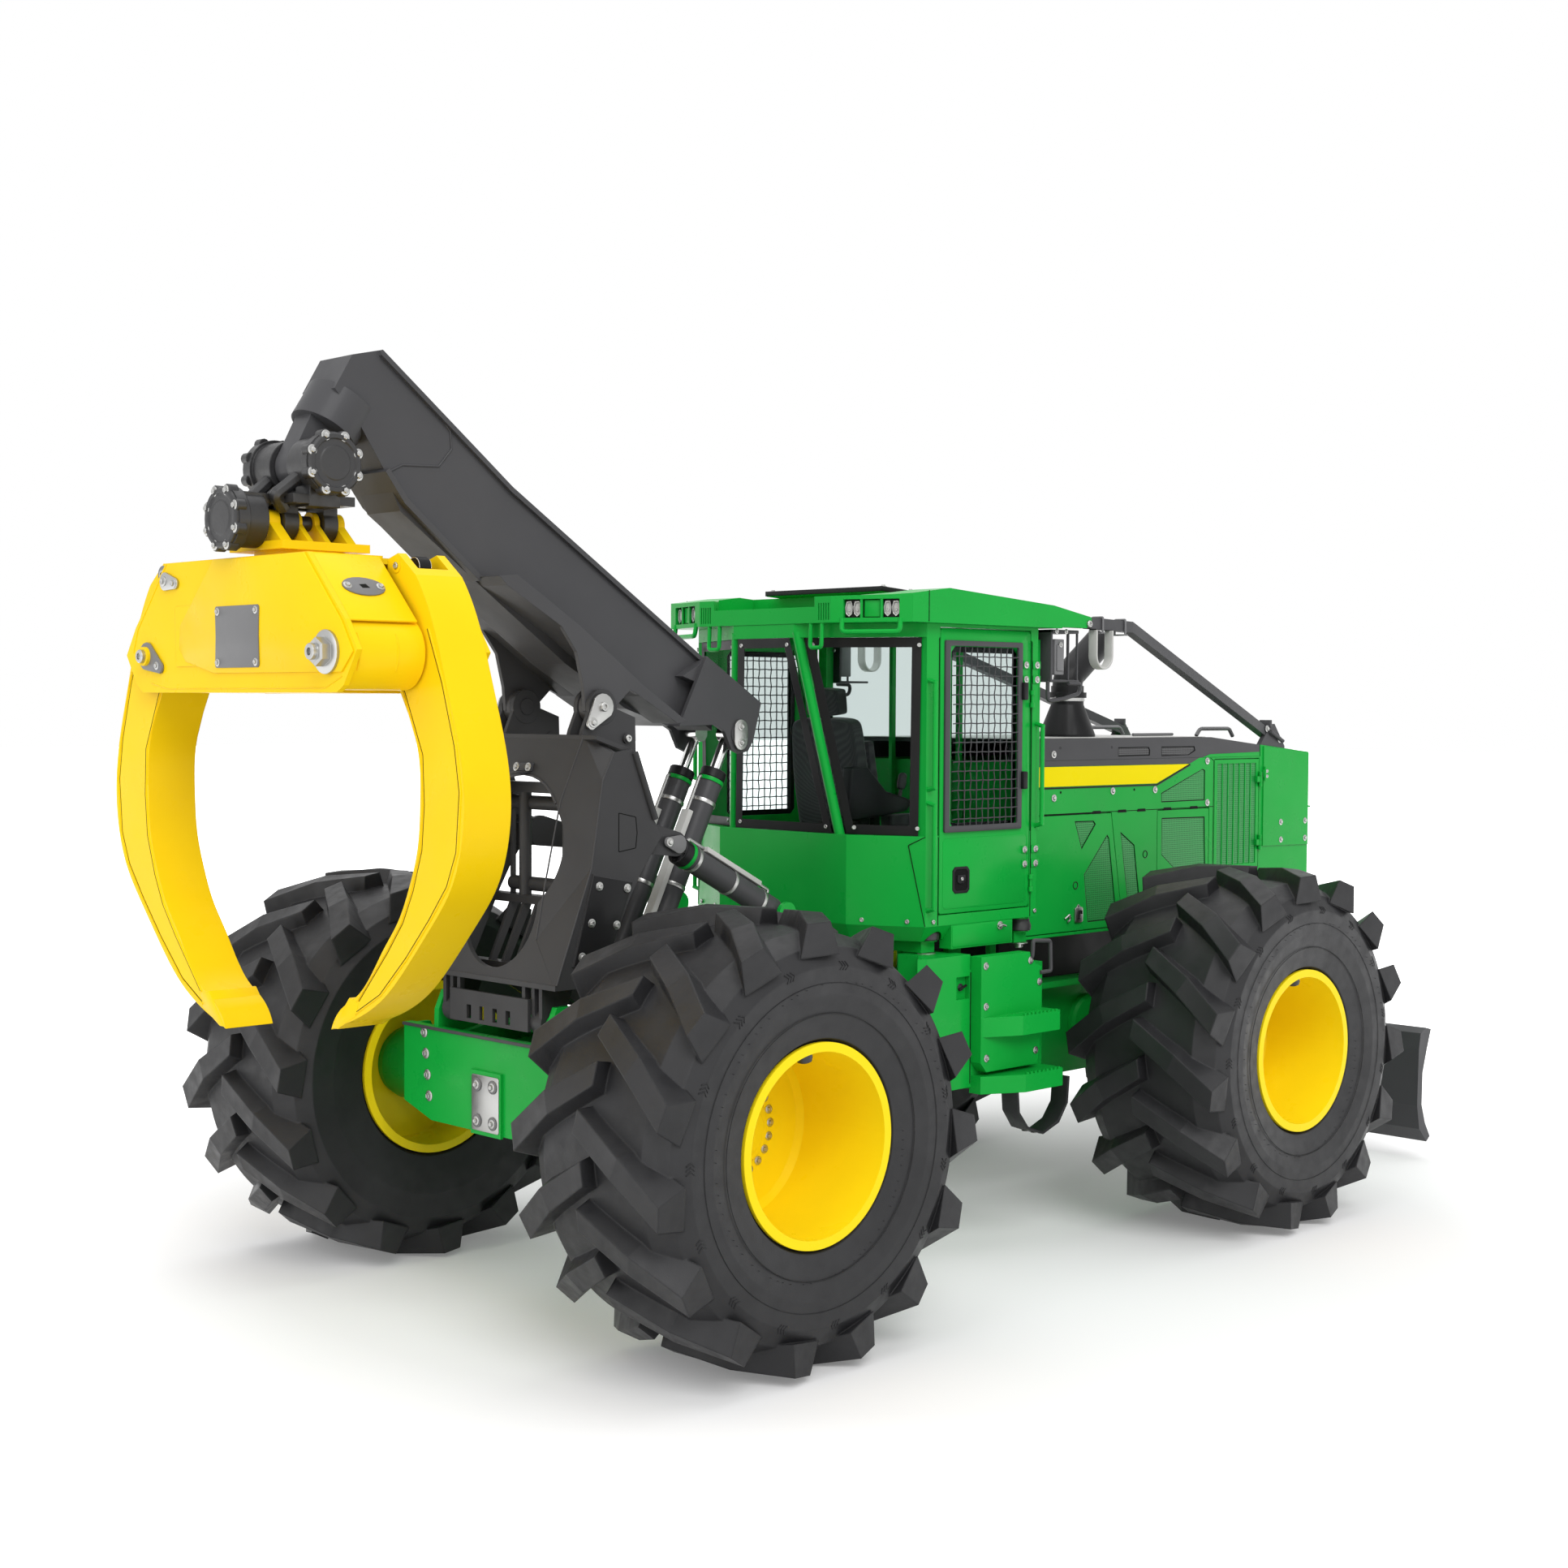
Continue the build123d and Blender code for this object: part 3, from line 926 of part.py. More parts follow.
def side_tank():
    """Tank box behind, step box ahead of it with two toothed treads, bracketed to the front frame."""
    shape = plan([(1690, -660), (1690, -800), (1570, -902), (1610, -930), (1940, -930), (1940, -660)], 880, 1560)
    shape -= block((1835, 1960), (-960, -900), (1335, 1450))
    shape += block((1935, 2520), (-930, -660), (880, 1480))
    panel = [(1945, 1550), (2330, 1550), (2345, 1500), (2430, 1465), (2430, 1130), (2400, 960), (1990, 960), (1945, 1010)]
    shape += side(panel, -1000, -925)
    shape += block((2200, 2400), (-665, -FRAME_HALF - SEAT), (1100, 1200))
    # treads: top, depth of the skirt, outer offset
    for z, depth, out in ((1240, 100, 1090), (940, 90, 1110)):
        shelf = [(1950, -995), (2170, -out), (2470, -out), (2500, -out + 20), (2500, -920), (1950, -920)]
        shape += plan(shelf, z - depth, z) - plan([(1975, -990), (2180, -out + 18), (2480, -out + 18), (2480, -1000)], z - depth - 1, z - 12)
        for k in range(9):
            x = 2190 + k * 32
            shape += block((x - 8, x + 8), (-out, -out + 10), (z - 1, z + 11))
    return shape


def blade():
    h = BLADE_HALF
    prof = [(5780, 700), (5800, 800), (5860, 830), (5925, 815), (5880, 700), (5830, 550), (5825, 350), (5870, 230), (5930, 140),
            (5890, 110), (5800, 200), (5770, 350)]
    shape = side(prof, -h, h)
    for y in (FRAME_HALF + 65,):
        arm = [(BLADE_PIVOT[0], BLADE_PIVOT[1] + 55), (5500, 640), (5790, 640), (5790, 260), (5600, 260), (5350, 520),
               (BLADE_PIVOT[0], BLADE_PIVOT[1] - 55)]
        shape += both(side(arm, y - 22, y + 22))
        shape += both(ypin(*BLADE_PIVOT, 62, y - 26, y + 26))
    shape -= both(ypin(*BLADE_PIVOT, PIN_BLADE + SEAT, 200, 500))
    shape += side([(5560, 300), (5560, 520), (5600, 520), (5600, 300)], -FRAME_HALF - 60, FRAME_HALF + 60)
    for y in (-135, 135):
        for w in (-50, 50):
            shape += side([(5590, 470), (5640, 560), (5700, 560), (5790, 480), (5790, 400), (5590, 400)], y + w - 10, y + w + 10)
            shape += ypin(*BLADE_CYL_TIP, 24, y + w - 16, y + w + 16)
    return shape


# ---------------------------------------------------------------- assembly
def turned(shape):
    """Half turn about the upright through the grapple head."""
    return Pos(HEAD_X, 0, 0) * Rot(0, 0, 180) * Pos(-HEAD_X, 0, 0) * shape


def build():
    parts = {}
    parts["rear_frame"] = rear_frame()
    parts["front_frame"] = front_frame()
    parts["rear_axle"] = axle(0)
    parts["front_axle"] = axle(WHEELBASE)
    one_tyre, one_rim = tyre(), rim()
    for tag, x, s in WHEELS:
        place = Pos(x, s * TRACK / 2, AXLE_Z)
        parts["tyre_" + tag] = place * (one_tyre if s < 0 else mirror(one_tyre, Plane.XZ))
        parts["rim_" + tag] = place * (one_rim if s < 0 else mirror(one_rim, Plane.XZ))
    parts["arch"] = arch()
    parts["fairlead"] = fairlead()
    parts["winch"] = winch()
    parts["boom"] = boom()
    parts["crosshead"] = crosshead()
    parts["hanger"] = hanger()
    parts["grapple_head"] = grapple_head()
    anchor, ear = tong_cylinder_ends()
    for tag, way in (("r", lambda shape: shape), ("l", turned)):
        parts["tong_" + tag] = way(tong())
        parts["tong_barrel_" + tag] = way(barrel(anchor, ear, 0.64, 52, 22, 42, (1, 0, 0), 60, PIN_STEER + SEAT))
        parts["tong_rod_" + tag] = way(piston(anchor, ear, 380, 22, 40, (1, 0, 0), 60))
    # base, tip, side offset, barrel share of the rest length, rod start, barrel and rod radius, eye width
    pairs = {"boom": (BOOM_CYL_BASE, BOOM_CYL_TOP, BOOM_CYL_Y, 0.86, 120, BARREL_R, ROD_R, 90),
             "arch": (ARCH_CYL_BASE, ARCH_CYL_TOP, ARCH_CYL_Y, 0.9, 100, BARREL_R, ROD_R, 90),
             "blade": (BLADE_CYL_BASE, BLADE_CYL_TIP, 135, 0.58, 285, 40, 20, 76)}
    for tag, (base, tip, y, share, start, r, rod_r, width) in pairs.items():
        a, b = at_y(base, -y), at_y(tip, -y)
        bore = (PIN_CYL if r == BARREL_R else PIN_SMALL) + SEAT
        parts[tag + "_cyl_barrels"] = both(barrel(a, b, share, r, rod_r, bore + 16, width=width, bore=bore))
        parts[tag + "_cyl_rods"] = both(piston(a, b, start, rod_r, bore + 12, width=width - 10))
    a, b = at_z(STEER_FRONT, STEER_Z), at_z(STEER_REAR, STEER_Z)
    for tag, way in (("r", lambda shape: shape), ("l", flip)):
        parts["steer_barrel_" + tag] = way(barrel(a, b, 0.6, 45, 24, 42, (0, 0, 1), 80, PIN_STEER + SEAT))
        parts["steer_rod_" + tag] = way(piston(a, b, 395, 24, 38, (0, 0, 1), 80))
    parts["cab_shell"] = cab_shell()
    parts["cab_roof"] = cab_roof()
    parts["cab_glass"] = cab_glass()
    parts["door_r"] = door()
    parts["door_l"] = flip(door())
    parts["seat"] = seat()
    parts["hood"] = hood_shell()
    parts["cowl"] = cowl()
    parts["front_box"] = front_box()
    for name in PANELS:
        parts[name + "_r"] = hood_door(name)
        parts[name + "_l"] = flip(hood_door(name))
    parts["engine"] = engine()
    parts["cooler"] = cooler()
    parts["exhaust"] = exhaust()
    parts["risers"] = risers()
    parts["tank_r"] = side_tank()
    parts["tank_l"] = flip(side_tank())
    parts["blade"] = blade()
    return parts


def main():
    os.makedirs("parts", exist_ok=True)
    shift = Pos(-ORIGIN_X, 0, 0)
    for name, shape in build().items():
        export_step(shift * shape, f"parts/{name}.step")


ORIGIN_X = ((TIP_PIVOT[0] - 376) + 5930) / 2

if __name__ == "__main__":
    main()
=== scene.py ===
# %% [markdown]
# # Grapple skidder
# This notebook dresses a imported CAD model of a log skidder. The solids give every shape its place and size.
# Here they get paint, rubber, glass and steel, and the small things that a solid model leaves out: bolts,
# vents, seams and guards.

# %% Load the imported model
import json
from math import cos, pi, radians, sin

import bpy
from mathutils import Matrix, Vector


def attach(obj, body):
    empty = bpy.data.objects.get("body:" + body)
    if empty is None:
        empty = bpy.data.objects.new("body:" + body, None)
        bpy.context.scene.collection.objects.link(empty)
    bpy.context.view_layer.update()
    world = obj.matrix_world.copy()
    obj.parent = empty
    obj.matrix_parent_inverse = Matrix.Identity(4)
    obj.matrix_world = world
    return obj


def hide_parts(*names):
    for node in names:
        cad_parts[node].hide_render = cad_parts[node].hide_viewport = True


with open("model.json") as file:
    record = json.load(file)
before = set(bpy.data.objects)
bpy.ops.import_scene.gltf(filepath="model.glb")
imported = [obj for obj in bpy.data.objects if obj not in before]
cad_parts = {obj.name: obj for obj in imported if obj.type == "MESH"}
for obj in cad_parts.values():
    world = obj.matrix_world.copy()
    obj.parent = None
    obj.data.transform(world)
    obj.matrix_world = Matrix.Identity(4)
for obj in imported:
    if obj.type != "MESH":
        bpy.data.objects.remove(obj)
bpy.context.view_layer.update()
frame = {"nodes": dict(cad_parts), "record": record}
nodes = frame["nodes"]

# %% [markdown]
# ## Camera
# The view is that of a person standing behind the right rear wheel with a normal lens at chest height on a
# low platform. A camera needs a place and three directions, so the matrix is written from yaw, pitch and
# roll.

# %% Place the camera
CAMERA_AT = Vector((-8.4975, -8.1025, 2.8192))
YAW, PITCH, ROLL = radians(45.522), radians(-2.352), radians(0.278)
LENS_MM, SENSOR_MM = 49.73, 36
SHIFT_X, SHIFT_Y = -0.00265, 0.0067

forward = Vector((cos(PITCH) * cos(YAW), cos(PITCH) * sin(YAW), sin(PITCH)))
level = forward.cross(Vector((0, 0, 1))).normalized()
over = level.cross(forward)
right = level * cos(ROLL) + over * sin(ROLL)
up = over * cos(ROLL) - level * sin(ROLL)
bpy.ops.object.camera_add()
camera = bpy.context.object
camera.data.lens, camera.data.sensor_width = LENS_MM, SENSOR_MM
camera.data.shift_x, camera.data.shift_y = SHIFT_X, SHIFT_Y
turn = Matrix((right, up, -forward)).transposed().to_4x4()
camera.matrix_world = Matrix.Translation(CAMERA_AT) @ turn
bpy.context.scene.camera = camera

# %% [markdown]
# ## Studio
# The machine stands in a white studio. The floor is a wide diffuse plane that catches a soft shadow near the
# wheels. What the camera, mirrors and glass see directly is lifted to white, more so further out, so the
# lamps can stay plain.

# %% Make the world
def seen_directly(tree):
    """1 where the camera, a reflection or a pane looks straight at the material."""
    path = tree.nodes.new("ShaderNodeLightPath")
    total = path.outputs["Is Camera Ray"]
    for name in ("Is Glossy Ray", "Is Transmission Ray"):
        top = tree.nodes.new("ShaderNodeMath")
        top.operation = "MAXIMUM"
        tree.links.new(total, top.inputs[0])
        tree.links.new(path.outputs[name], top.inputs[1])
        total = top.outputs[0]
    return total


def spread(tree, value, low, high, start=0.0, end=1.0):
    """Maps a pattern that runs from start to end on to the range low to high."""
    node = tree.nodes.new("ShaderNodeMapRange")
    for key, number in (("From Min", start), ("From Max", end), ("To Min", low), ("To Max", high)):
        node.inputs[key].default_value = number
    tree.links.new(value, node.inputs["Value"])
    return node.outputs["Result"]


world = bpy.data.worlds.new("studio")
bpy.context.scene.world = world
world.use_nodes = True
tree = world.node_tree
back = tree.nodes["Background"]
tree.links.new(spread(tree, seen_directly(tree), 0.6, 1.0), back.inputs["Strength"])
back.inputs["Color"].default_value = (1, 1, 1, 1)

# %% Lay the floor
bpy.ops.object.select_all(action="DESELECT")
bpy.ops.mesh.primitive_plane_add(size=240, location=(0, 0, 0))
floor = bpy.context.object
floor.name = "studio_floor"
white = bpy.data.materials.new("studio_white")
white.use_nodes = True
tree = white.node_tree
tree.nodes.clear()
out = tree.nodes.new("ShaderNodeOutputMaterial")
diffuse = tree.nodes.new("ShaderNodeBsdfDiffuse")
diffuse.inputs["Color"].default_value = (0.8, 0.8, 0.8, 1)
glow = tree.nodes.new("ShaderNodeEmission")
place = tree.nodes.new("ShaderNodeTexCoord").outputs["Object"]
away = tree.nodes.new("ShaderNodeVectorMath")
away.operation = "LENGTH"
tree.links.new(place, away.inputs[0])
lift = tree.nodes.new("ShaderNodeMath")
lift.operation = "MULTIPLY"
tree.links.new(seen_directly(tree), lift.inputs[0])
tree.links.new(spread(tree, away.outputs["Value"], 0.16, 1.0, 3.2, 8.5), lift.inputs[1])
tree.links.new(lift.outputs[0], glow.inputs["Strength"])
add = tree.nodes.new("ShaderNodeAddShader")
tree.links.new(diffuse.outputs[0], add.inputs[0])
tree.links.new(glow.outputs[0], add.inputs[1])
tree.links.new(add.outputs[0], out.inputs["Surface"])
floor.data.materials.append(white)

# %% [markdown]
# Three very wide suns stand for soft boxes that are far away, so the light is even from end to end of a long
# machine. The key comes over the right shoulder, one fills from behind the grapple, and one hangs overhead.

# %% Hang the lamps
SOFT_SUNS = [("key_sun", (-0.5, -1.0, 0.95), 1.45, 35),
             ("rear_sun", (-1.0, 0.1, 0.35), 0.65, 50),
             ("top_sun", (0.1, 0.1, 1.0), 0.75, 60)]
for name, side, power, angle in SOFT_SUNS:
    bpy.ops.object.light_add(type="SUN", location=(0, 0, 9))
    lamp = bpy.context.object
    lamp.name = name
    lamp.data.energy = power
    lamp.data.angle = radians(angle)
    lamp.rotation_euler = Vector(side).to_track_quat("Z", "Y").to_euler()
bpy.context.scene.view_settings.view_transform = "Standard"
print("lamps:", len(SOFT_SUNS))

# %% [markdown]
# ## Finishes
# Every finish is one Principled shader fed by noise in object coordinates, so the pattern stays put when a
# piece moves. Gloss paint on a forestry machine has a faint orange peel, slightly cloudy colour, and edges
# that catch the light.

# %% Paint maker
def new_finish(name):
    mat = bpy.data.materials.new(name)
    mat.use_nodes = True
    tree = mat.node_tree
    shader = tree.nodes["Principled BSDF"]
    place = tree.nodes.new("ShaderNodeTexCoord").outputs["Object"]
    return mat, tree, shader, place


def noise(tree, place, scale, detail=4.0, rough=0.55, stretch=None):
    if stretch:
        mapping = tree.nodes.new("ShaderNodeMapping")
        mapping.inputs["Scale"].default_value = stretch
        tree.links.new(place, mapping.inputs["Vector"])
        place = mapping.outputs["Vector"]
    tex = tree.nodes.new("ShaderNodeTexNoise")
    tex.inputs["Scale"].default_value = scale
    tex.inputs["Detail"].default_value = detail
    tex.inputs["Roughness"].default_value = rough
    tree.links.new(place, tex.inputs["Vector"])
    return tex.outputs["Fac"]


def blend_colours(tree, factor, a, b):
    node = tree.nodes.new("ShaderNodeMix")
    node.data_type = "RGBA"
    for socket, colour in ((node.inputs[6], a), (node.inputs[7], b)):
        if isinstance(colour, tuple):
            socket.default_value = (*colour, 1)
        else:
            tree.links.new(colour, socket)
    tree.links.new(factor, node.inputs["Factor"])
    return node.outputs[2]


def bump(tree, shader, height, strength, distance):
    node = tree.nodes.new("ShaderNodeBump")
    node.inputs["Strength"].default_value = strength
    node.inputs["Distance"].default_value = distance
    tree.links.new(height, node.inputs["Height"])
    tree.links.new(node.outputs["Normal"], shader.inputs["Normal"])
    return node


def round_edges(tree, node, radius):
    soft = tree.nodes.new("ShaderNodeBevel")
    soft.samples = 4
    soft.inputs["Radius"].default_value = radius
    tree.links.new(soft.outputs["Normal"], node.inputs["Normal"])


def paint(name, colour, shade, gloss=0.3, peel=0.1, coat=0.05, radius=0.004, shine=0.15):
    """Sprayed paint: two close tints, uneven gloss, orange peel and softened edges."""
    mat, tree, shader, place = new_finish(name)
    cloud = noise(tree, place, 1.7, 5)
    tint = blend_colours(tree, spread(tree, cloud, 0, 1, 0.3, 0.75), colour, shade)
    fine = noise(tree, place, 38, 3)
    tree.links.new(blend_colours(tree, spread(tree, fine, 0, 0.12), tint, shade), shader.inputs["Base Color"])
    tree.links.new(spread(tree, noise(tree, place, 6, 6), gloss - 0.06, gloss + 0.1, 0.3, 0.7),
                   shader.inputs["Roughness"])
    skin = bump(tree, shader, noise(tree, place, 420, 1), peel, 0.0006)
    round_edges(tree, skin, radius)
    shader.inputs["Coat Weight"].default_value = coat
    shader.inputs["Coat Roughness"].default_value = 0.15
    shader.inputs["Specular IOR Level"].default_value = shine
    return mat


green_paint = paint("green_paint", (0.006, 0.41, 0.05), (0.005, 0.36, 0.043), shine=0.12, coat=0.04)
yellow_paint = paint("yellow_paint", (1.0, 0.68, 0.006), (0.97, 0.63, 0.005), shine=0.1, coat=0.02)
# The rims and hub caps get a lighter, greener copy of the yellow paint. The extra lightness is painted light,
# standing in for light bounced on to the wheels.
rim_yellow_painted_light = paint("rim_yellow_painted_light", (1.0, 0.78, 0.01), (0.97, 0.73, 0.008), shine=0.1, coat=0.02)
stripe_paint = paint("stripe_paint", (1.0, 0.82, 0.001), (0.97, 0.79, 0.001), shine=0.05, coat=0.0)
charcoal_paint = paint("charcoal_paint", (0.074, 0.074, 0.078), (0.062, 0.062, 0.066), gloss=0.42)
# The arch and fairlead get a darker copy of the boom's charcoal paint. The extra darkness is painted shade.
arch_charcoal_painted_shade = paint("arch_charcoal_painted_shade", (0.05, 0.05, 0.052), (0.042, 0.042, 0.044), gloss=0.42)
grey_paint = paint("grey_paint", (0.2, 0.2, 0.205), (0.18, 0.18, 0.185), gloss=0.38, coat=0.1)
pale_paint = paint("pale_paint", (0.56, 0.56, 0.54), (0.5, 0.5, 0.48), gloss=0.4, coat=0.1)
black_paint = paint("black_paint", (0.014, 0.014, 0.015), (0.01, 0.01, 0.011), gloss=0.42, coat=0.05)
dark_gap = paint("dark_gap", (0.004, 0.005, 0.004), (0.003, 0.003, 0.003), gloss=0.7, coat=0.0)


# %% [markdown]
# Rubber is dull and nearly black, with fine grain and a trace of grey bloom. Castings are rougher than plate.
# Cylinder rods are ground and chromed, and small fasteners are zinc plated.

# %% Rubber, castings and bright metal
def rubber():
    mat, tree, shader, place = new_finish("tyre_rubber")
    bloom = spread(tree, noise(tree, place, 3, 6), 0, 1, 0.4, 0.75)
    tree.links.new(blend_colours(tree, bloom, (0.015, 0.015, 0.0165), (0.024, 0.024, 0.026)),
                   shader.inputs["Base Color"])
    tree.links.new(spread(tree, noise(tree, place, 14, 5), 0.38, 0.56, 0.3, 0.7), shader.inputs["Roughness"])
    shader.inputs["Specular IOR Level"].default_value = 0.35
    grain = bump(tree, shader, noise(tree, place, 160, 4, 0.6), 0.3, 0.0015)
    round_edges(tree, grain, 0.012)
    return mat


def casting():
    mat, tree, shader, place = new_finish("black_casting")
    tree.links.new(blend_colours(tree, noise(tree, place, 9, 5), (0.02, 0.02, 0.021), (0.032, 0.032, 0.034)),
                   shader.inputs["Base Color"])
    tree.links.new(spread(tree, noise(tree, place, 20, 5), 0.3, 0.5, 0.3, 0.7), shader.inputs["Roughness"])
    skin = bump(tree, shader, noise(tree, place, 90, 4, 0.7), 0.3, 0.002)
    round_edges(tree, skin, 0.008)
    return mat


def bright(name, colour, rough, streak):
    """Machined steel with faint streaks along one direction."""
    mat, tree, shader, place = new_finish(name)
    shader.inputs["Metallic"].default_value = 1.0
    lines = noise(tree, place, 30, 3, 0.5, streak)
    lighter = tuple(min(1, c * 1.12) for c in colour)
    tree.links.new(blend_colours(tree, lines, colour, lighter), shader.inputs["Base Color"])
    tree.links.new(spread(tree, lines, rough - 0.06, rough + 0.08), shader.inputs["Roughness"])
    skin = bump(tree, shader, lines, 0.08, 0.0006)
    round_edges(tree, skin, 0.002)
    return mat


tyre_rubber = rubber()
black_casting = casting()
chrome_rod = bright("chrome_rod", (0.74, 0.74, 0.73), 0.16, (1, 1, 6))
zinc = bright("zinc_plate", (0.42, 0.42, 0.41), 0.36, (4, 4, 4))


# %% [markdown]
# The cab has tinted safety glass. A thin pane is best made with a low roughness, high transmission and a grey
# green tint. The seat is woven cloth over foam, where a fine checked wave gives the weave. Air passes the
# hood through punched sheet, whose rows of small holes come from two crossed waves rather than from thousands
# of modelled holes.

# %% Glass, cloth and punched sheet
def tinted_glass():
    mat, tree, shader, place = new_finish("tinted_glass")
    shade = blend_colours(tree, noise(tree, place, 1.2, 2), (0.80, 0.85, 0.84), (0.75, 0.81, 0.80))
    tree.links.new(shade, shader.inputs["Base Color"])
    tree.links.new(spread(tree, noise(tree, place, 3, 2), 0.0, 0.03), shader.inputs["Roughness"])
    shader.inputs["Transmission Weight"].default_value = 1.0
    shader.inputs["IOR"].default_value = 1.02
    return mat


def crossed_waves(tree, place, scale, a="X", b="Z"):
    """Two sets of bands, multiplied to a lattice of spots."""
    both = tree.nodes.new("ShaderNodeMath")
    both.operation = "MULTIPLY"
    for socket, axis in zip(both.inputs, (a, b)):
        wave = tree.nodes.new("ShaderNodeTexWave")
        wave.bands_direction = axis
        wave.inputs["Scale"].default_value = scale
        tree.links.new(place, wave.inputs["Vector"])
        tree.links.new(wave.outputs["Fac"], socket)
    return both.outputs[0]


def seat_cloth():
    mat, tree, shader, place = new_finish("seat_cloth")
    weave = crossed_waves(tree, place, 90, "X", "Y")
    tree.links.new(blend_colours(tree, weave, (0.014, 0.014, 0.016), (0.045, 0.045, 0.048)),
                   shader.inputs["Base Color"])
    shader.inputs["Roughness"].default_value = 0.9
    shader.inputs["Sheen Weight"].default_value = 0.3
    bump(tree, shader, weave, 0.4, 0.001)
    return mat


def punched(name, sheet, hole, scale=26):
    mat, tree, shader, place = new_finish(name)
    spots = spread(tree, crossed_waves(tree, place, scale), 0, 1, 0.3, 0.5)
    tree.links.new(blend_colours(tree, spots, sheet, hole), shader.inputs["Base Color"])
    tree.links.new(spread(tree, spots, 0.4, 0.8), shader.inputs["Roughness"])
    bump(tree, shader, spots, 0.7, 0.002).invert = True
    return mat


pane_glass = tinted_glass()
cloth = seat_cloth()
green_screen = punched("green_screen", (0.008, 0.30, 0.05), (0.004, 0.10, 0.02))
grey_screen = punched("grey_screen", (0.06, 0.06, 0.063), (0.008, 0.008, 0.008))

# %% Give each solid its finish
FINISH = {"green": green_paint, "yellow": yellow_paint, "charcoal": charcoal_paint, "tyre": tyre_rubber,
          "steel": chrome_rod,
          "glass": pane_glass, "casting": black_casting, "seat": cloth, "black": black_paint}
# In place of their slot's paint, the arch and fairlead take the darker charcoal copy, which is painted shade,
# and the rims take the lighter yellow copy, which is painted light.
PAINTED_LIGHT_AND_SHADE_OVERRIDES = {"arch": arch_charcoal_painted_shade, "fairlead": arch_charcoal_painted_shade, "rim_rl": rim_yellow_painted_light, "rim_rr": rim_yellow_painted_light,
              "rim_fl": rim_yellow_painted_light, "rim_fr": rim_yellow_painted_light}
for part in frame["record"]["subparts"]:
    solid = nodes[part["node"]]
    solid.data.materials.clear()
    solid.data.materials.append(PAINTED_LIGHT_AND_SHADE_OVERRIDES.get(part["node"], FINISH[part["material_slot"]]))
print("finished solids:", len(nodes))

# %% [markdown]
# ## Workshop helpers
# Drawings of this machine measure from the rear axle in millimetres, so one function turns those into places.
# Each helper starts from a primitive, shapes it in edit mode, and hands over a mesh that sits in place with
# its finish.

# %% Places and finished pieces
AXLE_X = 2091


def at(x, y, z):
    """A place given in millimetres from the rear axle, the centre plane and the ground."""
    return Vector(((x - AXLE_X) / 1000, y / 1000, z / 1000))


def only(*objs):
    """Selects these objects and nothing else."""
    bpy.ops.object.select_all(action="DESELECT")
    for obj in objs:
        obj.select_set(True)
    bpy.context.view_layer.objects.active = objs[0]
    return objs[0]


def joined(objs):
    only(*objs)
    if len(objs) > 1:
        bpy.ops.object.join()
    return bpy.context.object


BEVEL_FROM, SMOOTH_BELOW = radians(40), radians(35)
rides_on = {}


def hand_over(obj, name, body, finish, bevel=0.0, steps=2):
    """Fixes the piece in place, softens its edges, names and paints it and hangs it on its body."""
    only(obj)
    bpy.ops.object.transform_apply(location=True, rotation=True, scale=True)
    if bevel:
        edge = obj.modifiers.new("soft_edges", "BEVEL")
        edge.width, edge.segments, edge.limit_method, edge.angle_limit = bevel, steps, "ANGLE", BEVEL_FROM
        bpy.ops.object.modifier_apply(modifier=edge.name)
    bpy.ops.object.shade_smooth_by_angle(angle=SMOOTH_BELOW)
    obj.name = obj.data.name = name
    obj.data.materials.clear()
    obj.data.materials.append(finish)
    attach(obj, body)
    rides_on[name] = body
    return obj


def twin_of(obj, name, body, change):
    """A copy of a piece moved by a matrix, with its faces turned out again if that mirrored them."""
    twin = obj.copy()
    twin.data = obj.data.copy()
    bpy.context.collection.objects.link(twin)
    twin.data.transform(change)
    if change.determinant() < 0:
        twin.data.flip_normals()
    twin.name = twin.data.name = name
    twin.parent = None
    rides_on[name] = body or rides_on[obj.name]
    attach(twin, rides_on[name])
    return twin


def other_side(obj, name, body=None):
    """The same piece on the left of the machine."""
    return twin_of(obj, name, body, Matrix.Scale(-1, 4, (0, 1, 0)))


def pair(obj, name, body, finish, bevel=0.0):
    """Hands over a piece on the right and its twin on the left."""
    return other_side(hand_over(obj, name + "_r", body, finish, bevel), name + "_l")


# %% Plates, rings and tubes
def flat_loop(points, fill):
    """A ring of edges through these points, filled or not."""
    bpy.ops.object.select_all(action="DESELECT")
    bpy.ops.mesh.primitive_circle_add(vertices=len(points), radius=1, fill_type=fill)
    for vertex, point in zip(bpy.context.object.data.vertices, points):
        vertex.co = point
    return bpy.context.object


def drawn_out(obj, out, bridged=False):
    """Bridges the object's two loops if asked, and draws its faces out along a vector."""
    bpy.ops.object.mode_set(mode="EDIT")
    bpy.ops.mesh.select_all(action="SELECT")
    if bridged:
        bpy.ops.mesh.bridge_edge_loops()
        bpy.ops.mesh.select_all(action="SELECT")
    bpy.ops.mesh.extrude_region_move(TRANSFORM_OT_translate={"value": out})
    bpy.ops.mesh.select_all(action="SELECT")
    bpy.ops.mesh.normals_make_consistent(inside=False)
    bpy.ops.object.mode_set(mode="OBJECT")
    return obj


def plate(points, out):
    """A sheet with this outline, drawn out along a vector."""
    return drawn_out(flat_loop(points, "NGON"), out)


def ring_plate(outer, inner, out):
    """A frame between two outlines of as many corners, drawn out along a vector."""
    return drawn_out(joined([flat_loop(outer, "NOTHING"), flat_loop(inner, "NOTHING")]), out, bridged=True)


def pulled_in(points, margin):
    """The outline moved inwards along its own edges by a margin."""
    inner = []
    for k, here in enumerate(points):
        a, b = points[k - 1] - here, points[(k + 1) % len(points)] - here
        inner.append(here + (a.normalized() + b.normalized()) * margin)
    return inner


def block(low, high):
    """A box between two corners in drawing millimetres."""
    a, b = at(*low), at(*high)
    bpy.ops.object.select_all(action="DESELECT")
    bpy.ops.mesh.primitive_cube_add(size=1, location=(a + b) / 2, scale=b - a)
    only(bpy.context.object)
    bpy.ops.object.transform_apply(location=True, rotation=True, scale=True)
    return bpy.context.object


